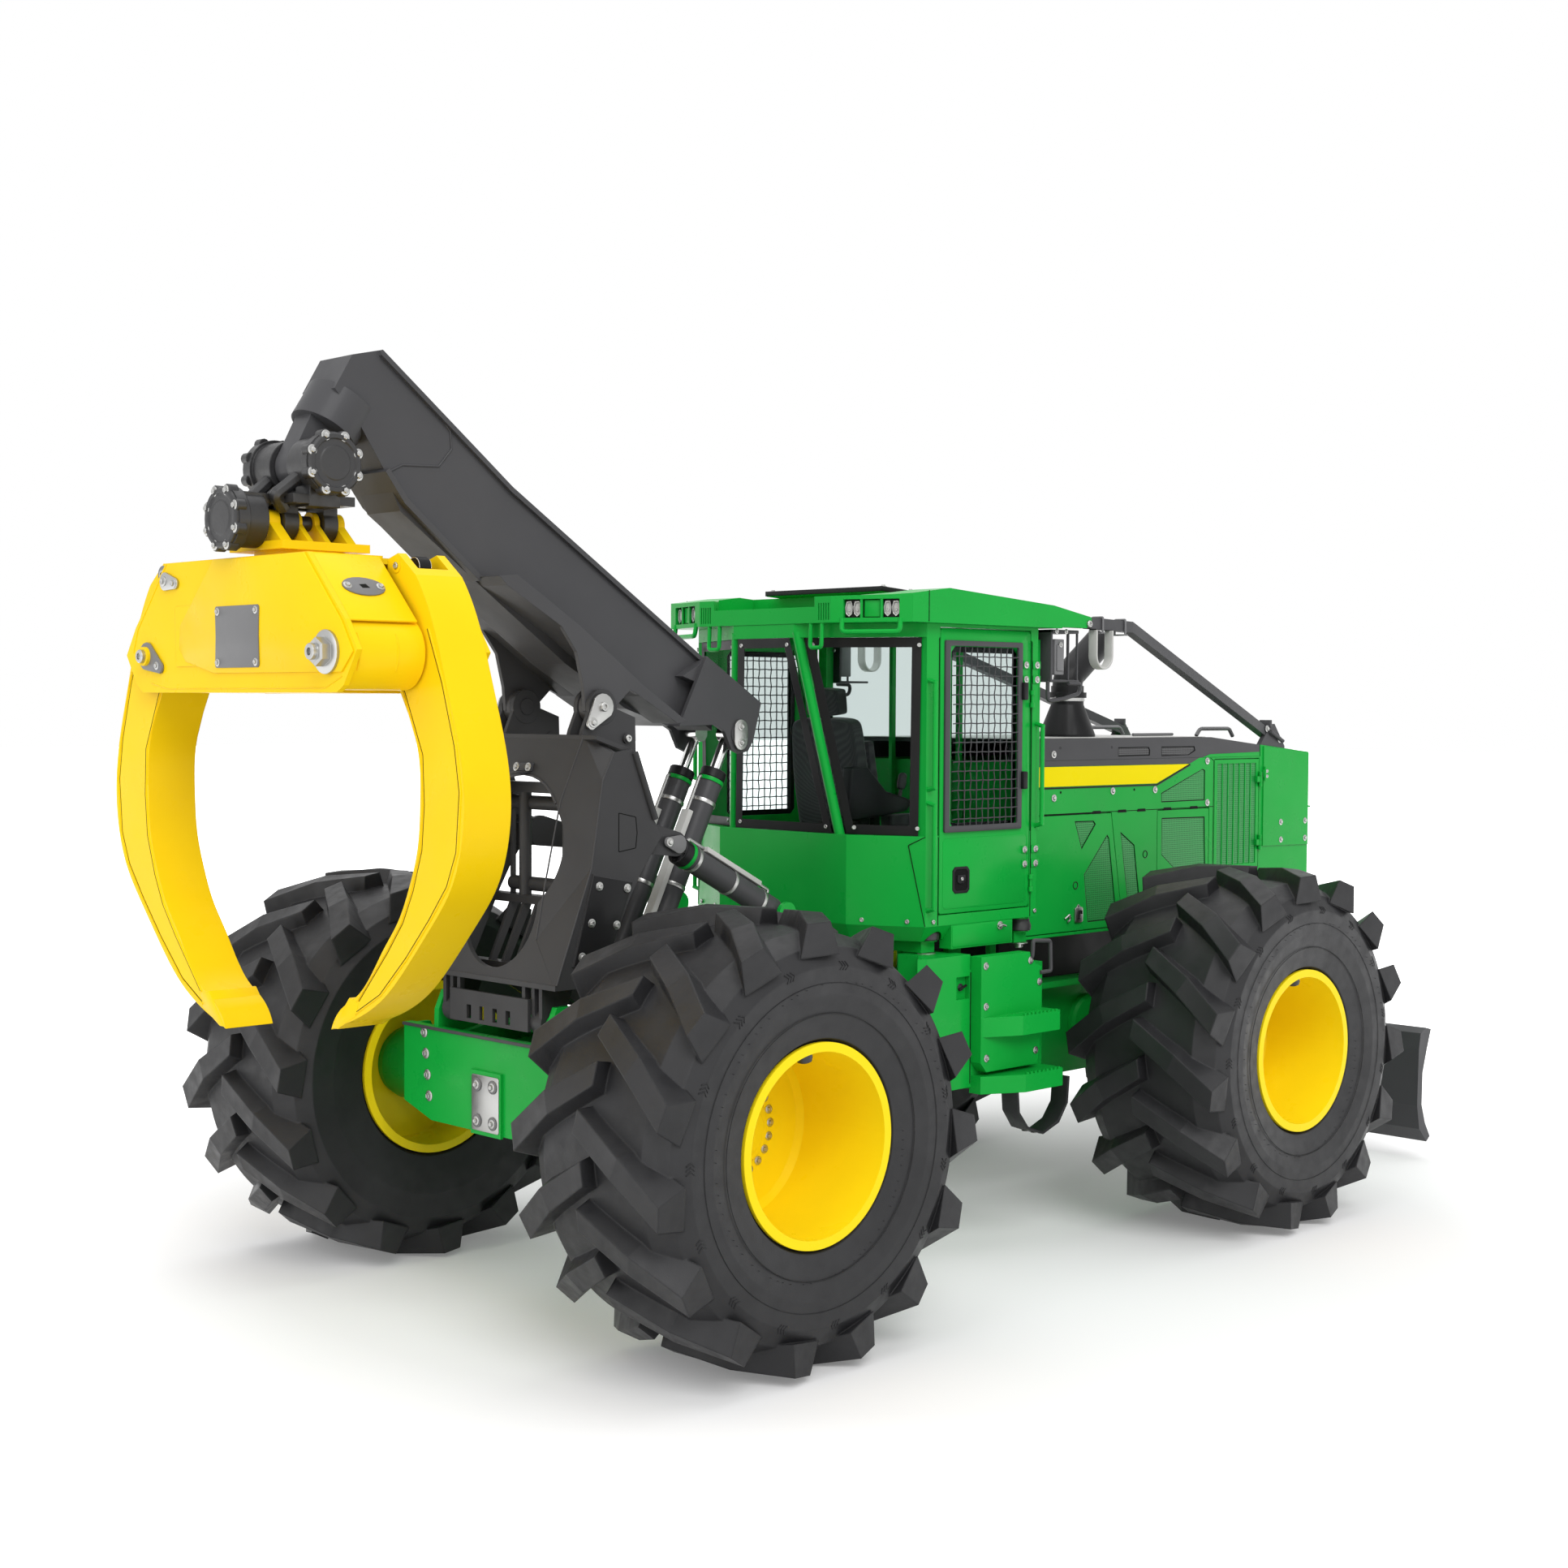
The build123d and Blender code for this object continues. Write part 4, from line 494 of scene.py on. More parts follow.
def swept(runs, radius, smooth, fine, capped):
    """Round bars along runs of places, as one mesh."""
    line = bpy.data.curves.new("bars", "CURVE")
    line.dimensions = "3D"
    for run in runs:
        spline = line.splines.new("NURBS")
        spline.points.add(len(run) - 1)
        for knot, place in zip(spline.points, run):
            knot.co = (*place, 1)
        spline.order_u = 3
        spline.use_endpoint_u = True
    line.resolution_u, line.bevel_depth, line.bevel_resolution = smooth, radius, fine
    line.use_fill_caps = capped
    obj = bpy.data.objects.new("bars", line)
    bpy.context.collection.objects.link(obj)
    only(obj)
    bpy.ops.object.convert(target="MESH")
    return bpy.context.object


def tube(points, radius, corner=0.05, fine=2):
    """A bent tube through corner points, each bend eased over a short run."""
    places = [points[0]]
    for before, here, after in zip(points, points[1:], points[2:]):
        places += [here + (before - here).normalized() * corner, here,
                   here + (after - here).normalized() * corner]
    places.append(points[-1])
    return swept([places], radius, 4, fine, True)


# %% [markdown]
# Bolts repeat all over the machine. One hexagon head on a washer is shaped once, one unit across its corners,
# and copied to each place, turned to face out of its surface. The copies of one assembly are joined, so that
# they move as one.

# %% Shape the fasteners
def turned_shape(sides, steps):
    """A turned part: a disc drawn up and in through (radius, height) steps."""
    bpy.ops.object.select_all(action="DESELECT")
    bpy.ops.mesh.primitive_circle_add(vertices=sides, radius=steps[0][0], fill_type="NGON",
                                      location=(0, 0, steps[0][1]))
    obj = only(bpy.context.object)
    bpy.ops.object.transform_apply(location=True)
    bpy.ops.object.mode_set(mode="EDIT")
    bpy.ops.mesh.select_all(action="SELECT")
    for (r0, z0), (r1, z1) in zip(steps, steps[1:]):
        bpy.ops.mesh.extrude_region_move(TRANSFORM_OT_translate={"value": (0, 0, z1 - z0)})
        bpy.ops.transform.resize(value=(r1 / r0, r1 / r0, 1))
    bpy.ops.mesh.select_all(action="SELECT")
    bpy.ops.mesh.normals_make_consistent(inside=False)
    bpy.ops.object.mode_set(mode="OBJECT")
    return obj


def kept_pattern(obj):
    """Takes a shape off the scene and keeps its mesh for copying."""
    mesh = obj.data.copy()
    bpy.data.objects.remove(obj)
    return mesh


washer = turned_shape(18, [(1.75, -0.05), (1.75, 0.22), (1.6, 0.3), (0.8, 0.3)])
hexagon = turned_shape(6, [(1.0, 0.25), (1.0, 0.85), (0.82, 1.0), (0.45, 0.94)])
bolt_head = kept_pattern(joined([washer, hexagon]))
socket_head = kept_pattern(turned_shape(14,
                                        [(1.0, -0.05), (1.0, 0.5), (0.85, 0.68), (0.5, 0.68), (0.48, 0.35)]))
lock_cup = kept_pattern(turned_shape(20,
                                     [(1.0, -0.05), (1.0, 0.12), (0.88, 0.16), (0.8, 0.1), (0.78, -0.02)]))


def facing(normal):
    return Vector(normal).normalized().to_track_quat("Z", "Y").to_matrix().to_4x4()


def copies(mesh, spots):
    """One object from copies of a mesh, each at (place, direction, size)."""
    made = []
    for place, normal, size in spots:
        obj = bpy.data.objects.new("copy", mesh.copy())
        obj.data.transform(Matrix.Translation(place) @ facing(normal) @ Matrix.Scale(size, 4))
        bpy.context.collection.objects.link(obj)
        made.append(obj)
    return joined(made)


BOLT_SCALE = 0.75  # every stated bolt size is drawn at this share


def bolts(name, body, places, normal, size=0.013, mesh=None, finish=None, twin=False):
    obj = copies(mesh or bolt_head, [(at(*p), normal, size * BOLT_SCALE) for p in places])
    obj = hand_over(obj, name, body, finish or zinc)
    return other_side(obj, name + "_left") if twin else obj


print("fastener faces:", len(bolt_head.polygons), len(socket_head.polygons))

# %% [markdown]
# ## Cab doors
# A forestry door has a wide steel frame, a pane, and outside it a bolted guard of woven wire that stops
# branches. The solid door keeps its place for collision, and these pieces stand for it: each wire is a thin
# tube that passes in front of one crossing wire and behind the next.

# %% Door leaf and guard frame
DOOR = ((1786, 1766), (2497, 3214))
GUARD = ((1812, 2180), (2420, 3153))


def on_side(y, points):
    """Corners given as x and z on an upright plane at y."""
    return [at(x, y, z) for x, z in points]


def outline(low, high, y, cut=0):
    """A rectangle in x and z at y, with its corners cut off if asked."""
    (x0, z0), (x1, z1) = low, high
    if not cut:
        return [at(x0, y, z0), at(x1, y, z0), at(x1, y, z1), at(x0, y, z1)]
    c = cut
    return [at(x, y, z) for x, z in ((x0 + c, z0), (x1 - c, z0), (x1, z0 + c), (x1, z1 - c),
                                     (x1 - c, z1), (x0 + c, z1), (x0, z1 - c), (x0, z0 + c))]


leaf = ring_plate(outline(*DOOR, -850, 12), outline((1870, 2195), (2408, 3124), -850, 30), (0, 0.034, 0))
pressed = plate(outline((1812, 1790), (2470, 2150), -851.5, 16), (0, 0.004, 0))
hand_over(leaf, "door_leaf_r", "door_r", green_paint, 0.005)
hand_over(pressed, "door_press_r", "door_r", green_paint, 0.0012)
guard = ring_plate(outline(*GUARD, -864, 6), outline((1850, 2212), (2386, 3126), -864, 6), (0, 0.014, 0))
hand_over(guard, "door_guard_frame_r", "door_r", charcoal_paint, 0.0025)
pane = plate(outline((1862, 2187), (2416, 3132), -834), (0, 0.005, 0))
hand_over(pane, "door_pane_r", "door_r", pane_glass)
shade = ring_plate(outline((1858, 2183), (2420, 3136), -828), outline((1900, 2225), (2378, 3094), -828),
                   (0, 0.004, 0))
hand_over(shade, "door_pane_seal_r", "door_r", black_paint)

# %% Weave the guard
ACROSS, UPWARD = 11, 19


def woven(x0, x1, z0, z1, y):
    """Crimped wires both ways between the guard's inner edges."""
    wires = []
    dx, dz, crimp = (x1 - x0) / ACROSS, (z1 - z0) / UPWARD, 4.2
    for i in range(1, ACROSS):
        run = [at(x0 + i * dx + (3 if k % 2 else -3), y + (crimp if (i + k) % 2 else -crimp), z0 + k * dz)
               for k in range(UPWARD + 1)]
        wires.append(run)
    for k in range(1, UPWARD):
        run = [at(x0 + i * dx, y - (crimp if (i + k) % 2 else -crimp), z0 + k * dz + (2 if i % 2 else -2))
               for i in range(ACROSS + 1)]
        wires.append(run)
    return swept(wires, 0.0034, 2, 1, False)


hand_over(woven(1874, 2388, 2197, 3122, -857), "door_wires_r", "door_r", charcoal_paint)

# %% Door hinges, latch blocks and handle
HINGE_Z, LEAF_STEP, LEAF_HALF = (3000, 2030), 38, 20


def hinge_leaf(x0, x1, z0, z1):
    return plate(on_side(-851, ((x0, z0), (x1, z0), (x1, z1), (x0, z1))), (0, -0.006, 0))


leaf_z = [z + k for z in HINGE_Z for k in (-LEAF_STEP, LEAF_STEP)]
moving, fixed = [], []
for z in leaf_z:
    moving.append(hinge_leaf(2436, 2484, z - LEAF_HALF, z + LEAF_HALF))
    fixed.append(hinge_leaf(2512, 2574, z - LEAF_HALF, z + LEAF_HALF))
hand_over(joined(moving), "hinge_leaves_r", "door_r", green_paint, 0.0015)
hand_over(joined(fixed), "hinge_posts_r", "front", green_paint, 0.0015)
hinge_spots = [(2455, -857, z) for z in leaf_z]
bolts("hinge_bolts_r", "door_r", hinge_spots, (0, -1, 0), 0.014)
bolts("hinge_post_bolts_r", "front", [(2545, y, z) for _, y, z in hinge_spots], (0, -1, 0), 0.014, twin=True)
blocks = joined([block((2410, -884, z - 46), (2446, -850, z + 46)) for z in (2900, 2434)])
hand_over(blocks, "door_stops_r", "door_r", black_paint, 0.006)
recess = ring_plate(outline((1886, 1866), (2016, 2002), -856, 18),
                    outline((1900, 1880), (2002, 1988), -856, 14), (0, 0.006, 0))
hand_over(recess, "handle_rim_r", "door_r", black_paint, 0.002)
bowl = plate(outline((1899, 1879), (2003, 1989), -852.5, 14), (0, 0.002, 0))
hand_over(bowl, "handle_bowl_r", "door_r", dark_gap)
paddle = plate(on_side(-858,
                       ((1920, 1960), (1982, 1960), (1982, 1925), (1966, 1915), (1936, 1915), (1920, 1925))),
               (0, 0.006, 0))
hand_over(paddle, "handle_paddle_r", "door_r", black_paint, 0.002)
bolts("handle_button_r", "door_r", [(1951, -858, 1940)], (0, -1, 0), 0.013, socket_head)

# %% The left door is the right one turned over
for name in [name for name, body in rides_on.items() if body == "door_r"]:
    other_side(bpy.data.objects[name], name[:-2] + "_l", "door_l")
other_side(bpy.data.objects["hinge_posts_r"], "hinge_posts_l")
for side in "rl":
    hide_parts("door_" + side)

# %% [markdown]
# ## Cab glass borders
# Each bonded pane has a black printed border that hides the glue. A thin frame just outside the glass gives
# it, made from the pane's own corners and the same corners pulled in.

# %% Borders, clamps and the leaning tubes
rear_pane = [at(1516, -361, 2166), at(1516, 361, 2166), at(1369, 191, 3164), at(1369, -191, 3164)]
quarter = [at(1560, -416, 2166), at(1680, -801, 2166), at(1680, -816, 3164), at(1407, -256, 3164)]
for name, corners, push in (("rear_border", rear_pane, (-0.003, 0, 0)),
                            ("quarter_border_r", quarter, (-0.002, -0.002, 0))):
    shift = Vector(push)
    outer = [p + shift for p in corners]
    edge = ring_plate(outer, pulled_in(outer, 0.05), shift * 0.6)
    hand_over(edge, name, "front", black_paint)
other_side(bpy.data.objects["quarter_border_r"], "quarter_border_l")
clamp_spots = [(1662, -812, 2205), (1655, -822, 3125), (1560, -470, 2200), (1425, -300, 3130)]
bolts("pane_clamps", "front", clamp_spots, (-0.75, -0.66, 0), 0.015, socket_head, twin=True)
bolts("rear_clamps", "front", [(1511, y, 2200) for y in (-320, 320)] + [(1372, y, 3130) for y in (-170, 170)],
      (-1, 0, 0.1), 0.015, socket_head)
ends = [(2585, y, z) for y in (-700, 700) for z in (2200, 3140)]
bolts("screen_clamps", "front", [(2600, y, z) for _, y, z in ends], (1, 0, 0), 0.015, socket_head)

# %% [markdown]
# ## Cab body and roof
# The lower cab is folded from plates that overlap, so dark seams run down its corners. Round-headed bolts
# hold its floor. The roof carries pairs of work lamps behind bars, a black hatch plate, a bent rail and air
# slots.

# %% Seams and bolts on the lower cab
def seam(name, body, runs, radius=0.0022, finish=None):
    """A dark gap between plates, drawn as a thin line half sunk in the surface."""
    tubes = [tube([at(*p) for p in run], radius, 0.01, 1) for run in runs]
    return hand_over(joined(tubes), name, body, finish or dark_gap)


cab_seams = seam("cab_seams_r", "front",
                 [[(1778, -851, 1712), (1778, -851, 2160)],
                  [(1682, -850, 2163), (1640, -772, 2120), (1682, -850, 1712)],
                                          [(2509, -851, 1712), (2509, -851, 3160)],
                  [(1775, -851, 2168), (1775, -851, 3160)]])
other_side(cab_seams, "cab_seams_l")
bolts("floor_bolts", "front", [(1740, -851, 1732), (2545, -851, 1740)], (0, -1, 0), 0.016, socket_head,
      twin=True)
bolts("corner_bolts", "front", [(1540, -548, 1735), (1640, -768, 1735)], (-0.9, -0.43, 0), 0.016, socket_head,
      twin=True)
lid = plate(outline((1893, 1590), (2361, 1702), -850, 8), (0, 0.003, 0))
pair(lid, "tool_lid", "front", green_paint, 0.0012)
bolts("tool_latch", "front", [(2267, -850, 1680)], (0, -1, 0), 0.017, twin=True)
tee = tube([at(2238, -866, 1676), at(2267, -868, 1684), at(2296, -866, 1676)], 0.006, 0.008)
pair(tee, "tool_tee", "front", zinc)

# %% Roof lamps, hatch, rail and slots
start, stop = at(1361, -488, 0), at(1521, -900, 0)
along = (stop - start).normalized()
outward = Vector((-along.y, along.x, 0))
outward = -outward if outward.x > 0 else outward


def on_corner(s, z, out=0.0):
    """A place on the slanted roof corner: s along it, z up, out from its face, in millimetres."""
    return start + along * s / 1000 + Vector((0, 0, z / 1000)) + outward * out / 1000


HEX = ((0, -47), (24, -30), (30, 8), (18, 42), (-18, 42), (-30, 8), (-24, -30))
lamp_rims, lenses = [], []
for s in (94, 138, 302, 346):
    rim = [on_corner(s + u * 0.7, 3304 + w * 0.88, -26) for u, w in HEX]
    lens = [on_corner(s + u * 0.55, 3304 + w * 0.7, -27) for u, w in HEX]
    lamp_rims.append(ring_plate(rim, lens, outward * 0.012))
    lenses.append(plate(lens, outward * 0.004))
back = plate([on_corner(s, z, -29) for s, z in ((72, 3260), (368, 3260), (368, 3348), (72, 3348))],
             outward * 0.001)
hand_over(back, "lamp_back_r", "front", black_paint)
hand_over(joined(lamp_rims), "lamp_rims_r", "front", zinc, 0.002)
hand_over(joined(lenses), "lamp_lenses_r", "front", pale_paint, 0.0015)
blank = plate([on_corner(s, z, -20) for s, z in ((178, 3262), (262, 3262), (262, 3346), (178, 3346))],
              outward * 0.006)
hand_over(blank, "lamp_blank_r", "front", green_paint, 0.002)
spots = copies(socket_head, [(on_corner(s, 3296, -22), outward, 0.007) for s in (94, 138, 302, 346)])
hand_over(spots, "lamp_screws_r", "front", zinc)
for name in ("lamp_back", "lamp_rims", "lamp_lenses", "lamp_blank", "lamp_screws"):
    other_side(bpy.data.objects[name + "_r"], name + "_l")
rail = [on_corner(62, 3256, -6), on_corner(62, 3188, 4), on_corner(375, 3188, 4), on_corner(375, 3256, -6)]
pair(tube(rail, 0.013, 0.05), "corner_rail", "front", green_paint)
loop = [at(1372, 340, 3236), at(1366, 340, 3112), at(1366, 420, 3112), at(1372, 420, 3236)]
other_side(hand_over(tube(loop, 0.011, 0.04), "roof_loop_l", "front", green_paint), "roof_loop_r")
hatch = plate([at(1794, -435, 3413), at(2466, -435, 3367), at(2466, -435, 3393), at(1794, -435, 3439)],
              (0, 0.87, 0))
hand_over(hatch, "roof_hatch", "front", black_paint, 0.002)
hatch_bolts = [(x, y, 3439 - (x - 1800) * 0.068) for x in (1830, 2040, 2240, 2440) for y in (-410, 410)]
bolts("hatch_bolts", "front", hatch_bolts, (0.07, 0, 1), 0.014)
bolts("fascia_bolt", "front", [(2925, -900, 3265)], (0, -1, 0), 0.026, socket_head, twin=True)
roof_seam = seam("roof_seams_r", "front", [[(1640, -901, 3240), (1640, -901, 3395)]])
other_side(roof_seam, "roof_seams_l")

# %% [markdown]
# ## Hood
# A dark band and a plain yellow stripe run along the hood. Air goes in through punched sheet set back in the
# doors. Each mesh is a thin plate inside the recess that the solid door already has, with a narrow dark rim
# around it.

# %% Stripe and band
stripe = plate(on_side(-601, ((2652, 2378), (3969, 2376), (4291, 2484), (2652, 2488))), (0, -0.0012, 0))
pair(stripe, "side_stripe", "front", stripe_paint)
band = plate(on_side(-600.5, ((2650, 2490), (4296, 2486), (4400, 2521), (2650, 2521))), (0, -0.0012, 0))
pair(band, "hood_band", "front", charcoal_paint)
edge = seam("stripe_edge_r", "front", [[(2652, -601, 2370), (3975, -601, 2368), (4301, -601, 2480)]], 0.005,
            black_paint)
other_side(edge, "stripe_edge_l")
wedge = plate(on_side(-598.5, ((4430, 2521), (5038, 2521), (5038, 2548), (4512, 2540))), (0, -0.001, 0))
pair(wedge, "hood_wedge", "front", green_paint)

# %% Punched sheets in the vents
VENTS = {
    "engine_a": (-597, green_screen, ((3206, 2180), (3378, 2178), (3398, 2157), (3271, 2020))),
    "engine_b": (-597, green_screen, ((3295, 1878), (3505, 2095), (3523, 2074), (3602, 1608), (3332, 1606))),
    "filter_a": (-597, green_screen, ((4026, 2172), (4459, 2167), (4472, 1859), (4195, 1843), (4026, 1956))),
    "hood_a": (-597, green_screen, ((4019, 2319), (4433, 2453), (4459, 2444), (4459, 2264), (4020, 2264))),
    "hood_b": (-597, green_screen, ((3628, 2106), (3763, 2025), (3833, 1620), (3722, 1605))),
    "cowl_a": (-595, grey_screen, ((3601, 2590), (3893, 2590), (3908, 2570), (3905, 2539), (3602, 2537))),
    "cowl_b": (-595, grey_screen, ((4017, 2590), (4349, 2590), (4360, 2563), (4290, 2537), (4018, 2534)))}
for name, (y, finish, points) in VENTS.items():
    corners = [at(x, y, z) for x, z in points]
    mesh = plate(corners, (0, 0.0015, 0))
    pair(mesh, "vent_" + name, "front", finish)
    outer = [p + Vector((0, -0.002, 0)) for p in corners]
    lip = ring_plate(outer, pulled_in(outer, 0.006), (0, 0.003, 0))
    pair(lip, "vent_lip_" + name, "front", dark_gap)
strips = []
for k in range(7):
    x = 4585 + 60 * (k + 0.5)
    strips.append(plate([at(x + i * 24, -596 - 2 * abs(j), z) for i, j,
                         z in ((-1, 0, 1868), (1, 0, 1868), (1, 0, 2478), (-1, 0, 2478))],
                        (0, 0.0015, 0)))
grille = hand_over(joined(strips), "grille_mesh_r", "grille_door_r", green_screen)
other_side(grille, "grille_mesh_l", "grille_door_l")

# %% Hood seams, bolts and latches
hood_seams = seam("hood_seams_r", "front", [
    [(2650, -600, 2219), (3395, -600, 2222)], [(2897, -600, 2225), (4543, -600, 2225)],
    [(4548, -600, 1560), (4548, -600, 2500), (4512, -600, 2518)]])
other_side(hood_seams, "hood_seams_l")
gaps = [plate([at(x + i * 42, -601, 2225 + k * 8) for i, k in ((-1, -1), (1, -1), (0.85, 1), (-0.85, 1))],
              (0, -0.001, 0))
        for x in (3404, 3641, 3825, 4079, 4345)]
pair(joined(gaps), "seam_slots", "front", dark_gap)
HOOD_BOLTS = [(3550, -601, 2342), (3955, -601, 2340), (4482, -601, 2250), (3017, -601, 2315),
              (4478, -601, 2500)]
bolts("hood_bolts", "front", HOOD_BOLTS, (0, -1, 0), 0.016, twin=True)
bolts("cowl_bolts", "front", [(3016, -598, 2556)], (0, -1, 0), 0.016, twin=True)
bolts("box_bolts", "front", [(5270, -608, 2107), (5547, -608, 2107), (5273, -608, 1997), (5548, -608, 1997)],
      (0, -1, 0), 0.015, twin=True)
bolts("cowl_holes", "front",
      [(x, -598, 2591) for x in (3073, 3542)] + [(x, -601, 2345) for x in (3077, 3755)] , (0, -1, 0), 0.009,
      lock_cup, dark_gap, twin=True)
bolts("lock_cups", "front", [(3217, -600, 1821), (4240, -600, 1835), (3866, -600, 1967)], (0, -1, 0), 0.03,
      lock_cup, black_paint, twin=True)
case = plate(outline((3206, 1612), (3276, 1698), -600, 8), (0, -0.012, 0))
case = joined([case, plate(on_side(-600, ((3222, 1698), (3260, 1698), (3241, 1716))), (0, -0.008, 0))])
pair(case, "tee_case", "front", zinc, 0.003)
pull = tube([at(3236, -616, 1632), at(3236, -616, 1678), at(3256, -616, 1678), at(3256, -616, 1660)], 0.005,
            0.012)
pair(pull, "tee_pull", "front", black_paint)
hook = tube([at(3120, -606, 1640), at(3150, -614, 1662), at(3168, -606, 1634), at(3140, -612, 1622)], 0.006,
            0.01)
pair(hook, "small_latch", "front", zinc)
small = joined([plate(outline((5066, 2386), (5104, 2438), -611, 6), (0, 0.004, 0)),
                tube([at(5080, -613, 2368), at(5080, -613, 2456)], 0.008)])
pair(small, "box_hinge", "front", green_paint, 0.001)
bolts("box_hinge_bolts", "front",
      [(5094, -611, 2396), (5094, -611, 2428), (5112, -609, 2396), (5112, -609, 2428)], (0, -1, 0), 0.008,
      twin=True)
nose = joined([block((5588, -594, 2176), (5606, -560, 2224)), block((5600, -600, 2190), (5624, -570, 2200))])
pair(nose, "nose_latch", "front", green_paint, 0.003)
bolts("nose_bolts", "front", [(5606, -578, 2212), (5606, -578, 2184)], (1, 0, 0), 0.011, twin=True)

# %% [markdown]
# ## On top of the hood
# Pale cowl top, tie-down rails, and the exhaust's clamp. A clamp is a thin band round the pipe, closed by one
# bolt.

# %% Cowl rail, exhaust clamp and base bolts
lidtop = plate([at(x, y, 2643) for x, y in ((2660, -560), (4515, -560), (4515, 560), (2660, 560))],
               (0, 0, 0.002))
hand_over(lidtop, "cowl_skin", "front", pale_paint)
rails = [tube([at(4620, y, 2648), at(4660, y, 2690), at(4970, y, 2690), at(5010, y, 2642)], 0.012, 0.04)
         for y in (-420, 420)]
hand_over(joined(rails), "cowl_rails", "front", grey_paint)
bar = [tube([at(4100, y, 2656), at(4500, y, 2656)], 0.009) for y in (-330, 330)]
hand_over(joined(bar), "cowl_rods", "front", grey_paint)
band = copies(kept_pattern(turned_shape(32, [(0.099, 0), (0.1015, 0.002), (0.1015, 0.026), (0.099, 0.028)])),
              [(at(3700, -150, 2852), (0, 0, 1), 1.0)])
hand_over(band, "exhaust_clamp", "front", zinc)
from_pipe = [(3700 + 150 * cos(a), -150 + 150 * sin(a), 2657) for a in (pi * k / 3 + 0.3 for k in range(6))]
bolts("exhaust_bolts", "front", from_pipe, (0, 0, 1), 0.011)
tail = plate([at(3602, -156, z) for z in (2852, 2880)] + [at(3578, -156, z) for z in (2876, 2856)],
             (0, 0.006, 0))
hand_over(tail, "clamp_ears", "front", zinc, 0.001)

# %% Limb riser clamps and pins
clamps = []
for x in (3060, 3290):
    z = 3272 - (x - 2954) * 10 / 426
    y = 866 - (x - 2954) * 40 / 426
    ring = [at(x, -y + j * 36, z + k * 36) for j, k in ((1, -1.4), (1, 1), (-1, 1), (-1, -1.4))]
    clamps.append(tube(ring, 0.006, 0.012))
    clamps.append(block((x - 18, -y - 40, z - 52), (x + 18, -y + 40, z - 44)))
pair(joined(clamps), "riser_clamps", "front", grey_paint)
foot = joined([block((5150, -600, 2700), (5172, -520, 2744)),
               tube([at(5150, -604, 2672), at(5290, -604, 2612)], 0.012)])
pair(foot, "riser_foot", "front", charcoal_paint, 0.003)
half_turn = [pi + pi * k / 12 for k in range(13)]
strap = [(3004, 3236)] + [(3080 + 76 * cos(a), 3099 + 76 * sin(a)) for a in half_turn] + [(3156, 3236)]
strap += [(3144, 3236)] + [(3080 + 64 * cos(a), 3099 + 64 * sin(a)) for a in half_turn[::-1]] + [(3016, 3236)]
strap = plate([at(x, -893, z) for x, z in strap], (0, 0.054, 0))
pair(strap, "riser_strap", "front", pale_paint, 0.0015)
bolts("riser_bolts", "front", [(5130, -592, 2690), (5270, -592, 2622)], (0, -1, 0), 0.016, twin=True)

# %% [markdown]
# Under the roof's front tips hang black lamp boxes: a bent steel case, a lamp body, an upright bar, and a
# looped bracket below.

# %% Front lamp boxes
case = joined([block((2652, -862, 2960), (2668, -700, 3228)), block((2652, -862, 3212), (2890, -700, 3230)),
               block((2652, -862, 2952), (2896, -700, 2964)), block((2876, -862, 2964), (2886, -850, 3214)),
               block((2800, -862, 2964), (2810, -846, 3214))])
pair(case, "lamp_case", "front", charcoal_paint, 0.003)
body = joined([block((2700, -850, 2990), (2780, -730, 3180)), block((2712, -858, 3010), (2770, -848, 3150))])
pair(body, "lamp_body", "front", grey_paint, 0.008)
brace = [at(2655, -840, 2956), at(2655, -840, 2850), at(2760, -850, 2860), at(2900, -860, 2890),
         at(2910, -862, 2944), at(2800, -862, 2946)]
pair(tube(brace, 0.011, 0.05), "lamp_brace", "front", charcoal_paint)
bolts("lamp_bolts", "front", [(2700, -862, 3221), (2780, -862, 3221), (2740, -859, 3150)], (0, -1, 0), 0.011,
      twin=True)

# %% [markdown]
# ## Grapple
# The head is a box of thick plate: a doubler on its face, a bolted cover over the hoses' door, and a big nut
# on each tong's pin. The head is the same after half a turn, so each piece is made on the rear face and then
# turned about the head's middle.

# %% Head face
HEAD_X = -1385
FACE_X = HEAD_X - 320


def turned_over(obj, name, body=None):
    """The same piece after half a turn about the upright through the grapple head."""
    middle = at(HEAD_X, 0, 0)
    half_turn = Matrix.Translation(middle) @ Matrix.Rotation(pi, 4, "Z") @ Matrix.Translation(-middle)
    return twin_of(obj, name, body, half_turn)


def head_pair(obj, name, finish, bevel=0.0):
    """Hands over a piece on the head's rear face and its twin on the front face."""
    return turned_over(hand_over(obj, name + "_rear", "grapple_head", finish, bevel), name + "_front")


def on_face(points, x=FACE_X):
    return [at(x, y, z) for y, z in points]


doubler = plate(on_face(((150, 3422), (432, 3150), (441, 3052), (385, 2996), (146, 2944), (-823, 2942),
                         (-905, 3022), (-822, 3146),
                         (-556, 3422))), (-0.009, 0, 0))
head_pair(doubler, "head_doubler", yellow_paint, 0.003)
cover = plate(on_face(((-222, 2974), (-214, 2966), (118, 2966), (126, 2974), (121, 3100), (126, 3216),
                       (118, 3224), (-214, 3224), (-222, 3216),
                       (-217, 3100)), FACE_X - 9), (-0.006, 0, 0))
head_pair(cover, "hose_cover", grey_paint, 0.0015)
screws = bolts("cover_bolts_rear", "grapple_head",
               [(FACE_X - 15, y, z) for y in (-200, 104) for z in (2988, 3202)], (-1, 0, 0), 0.013)
turned_over(screws, "cover_bolts_front")
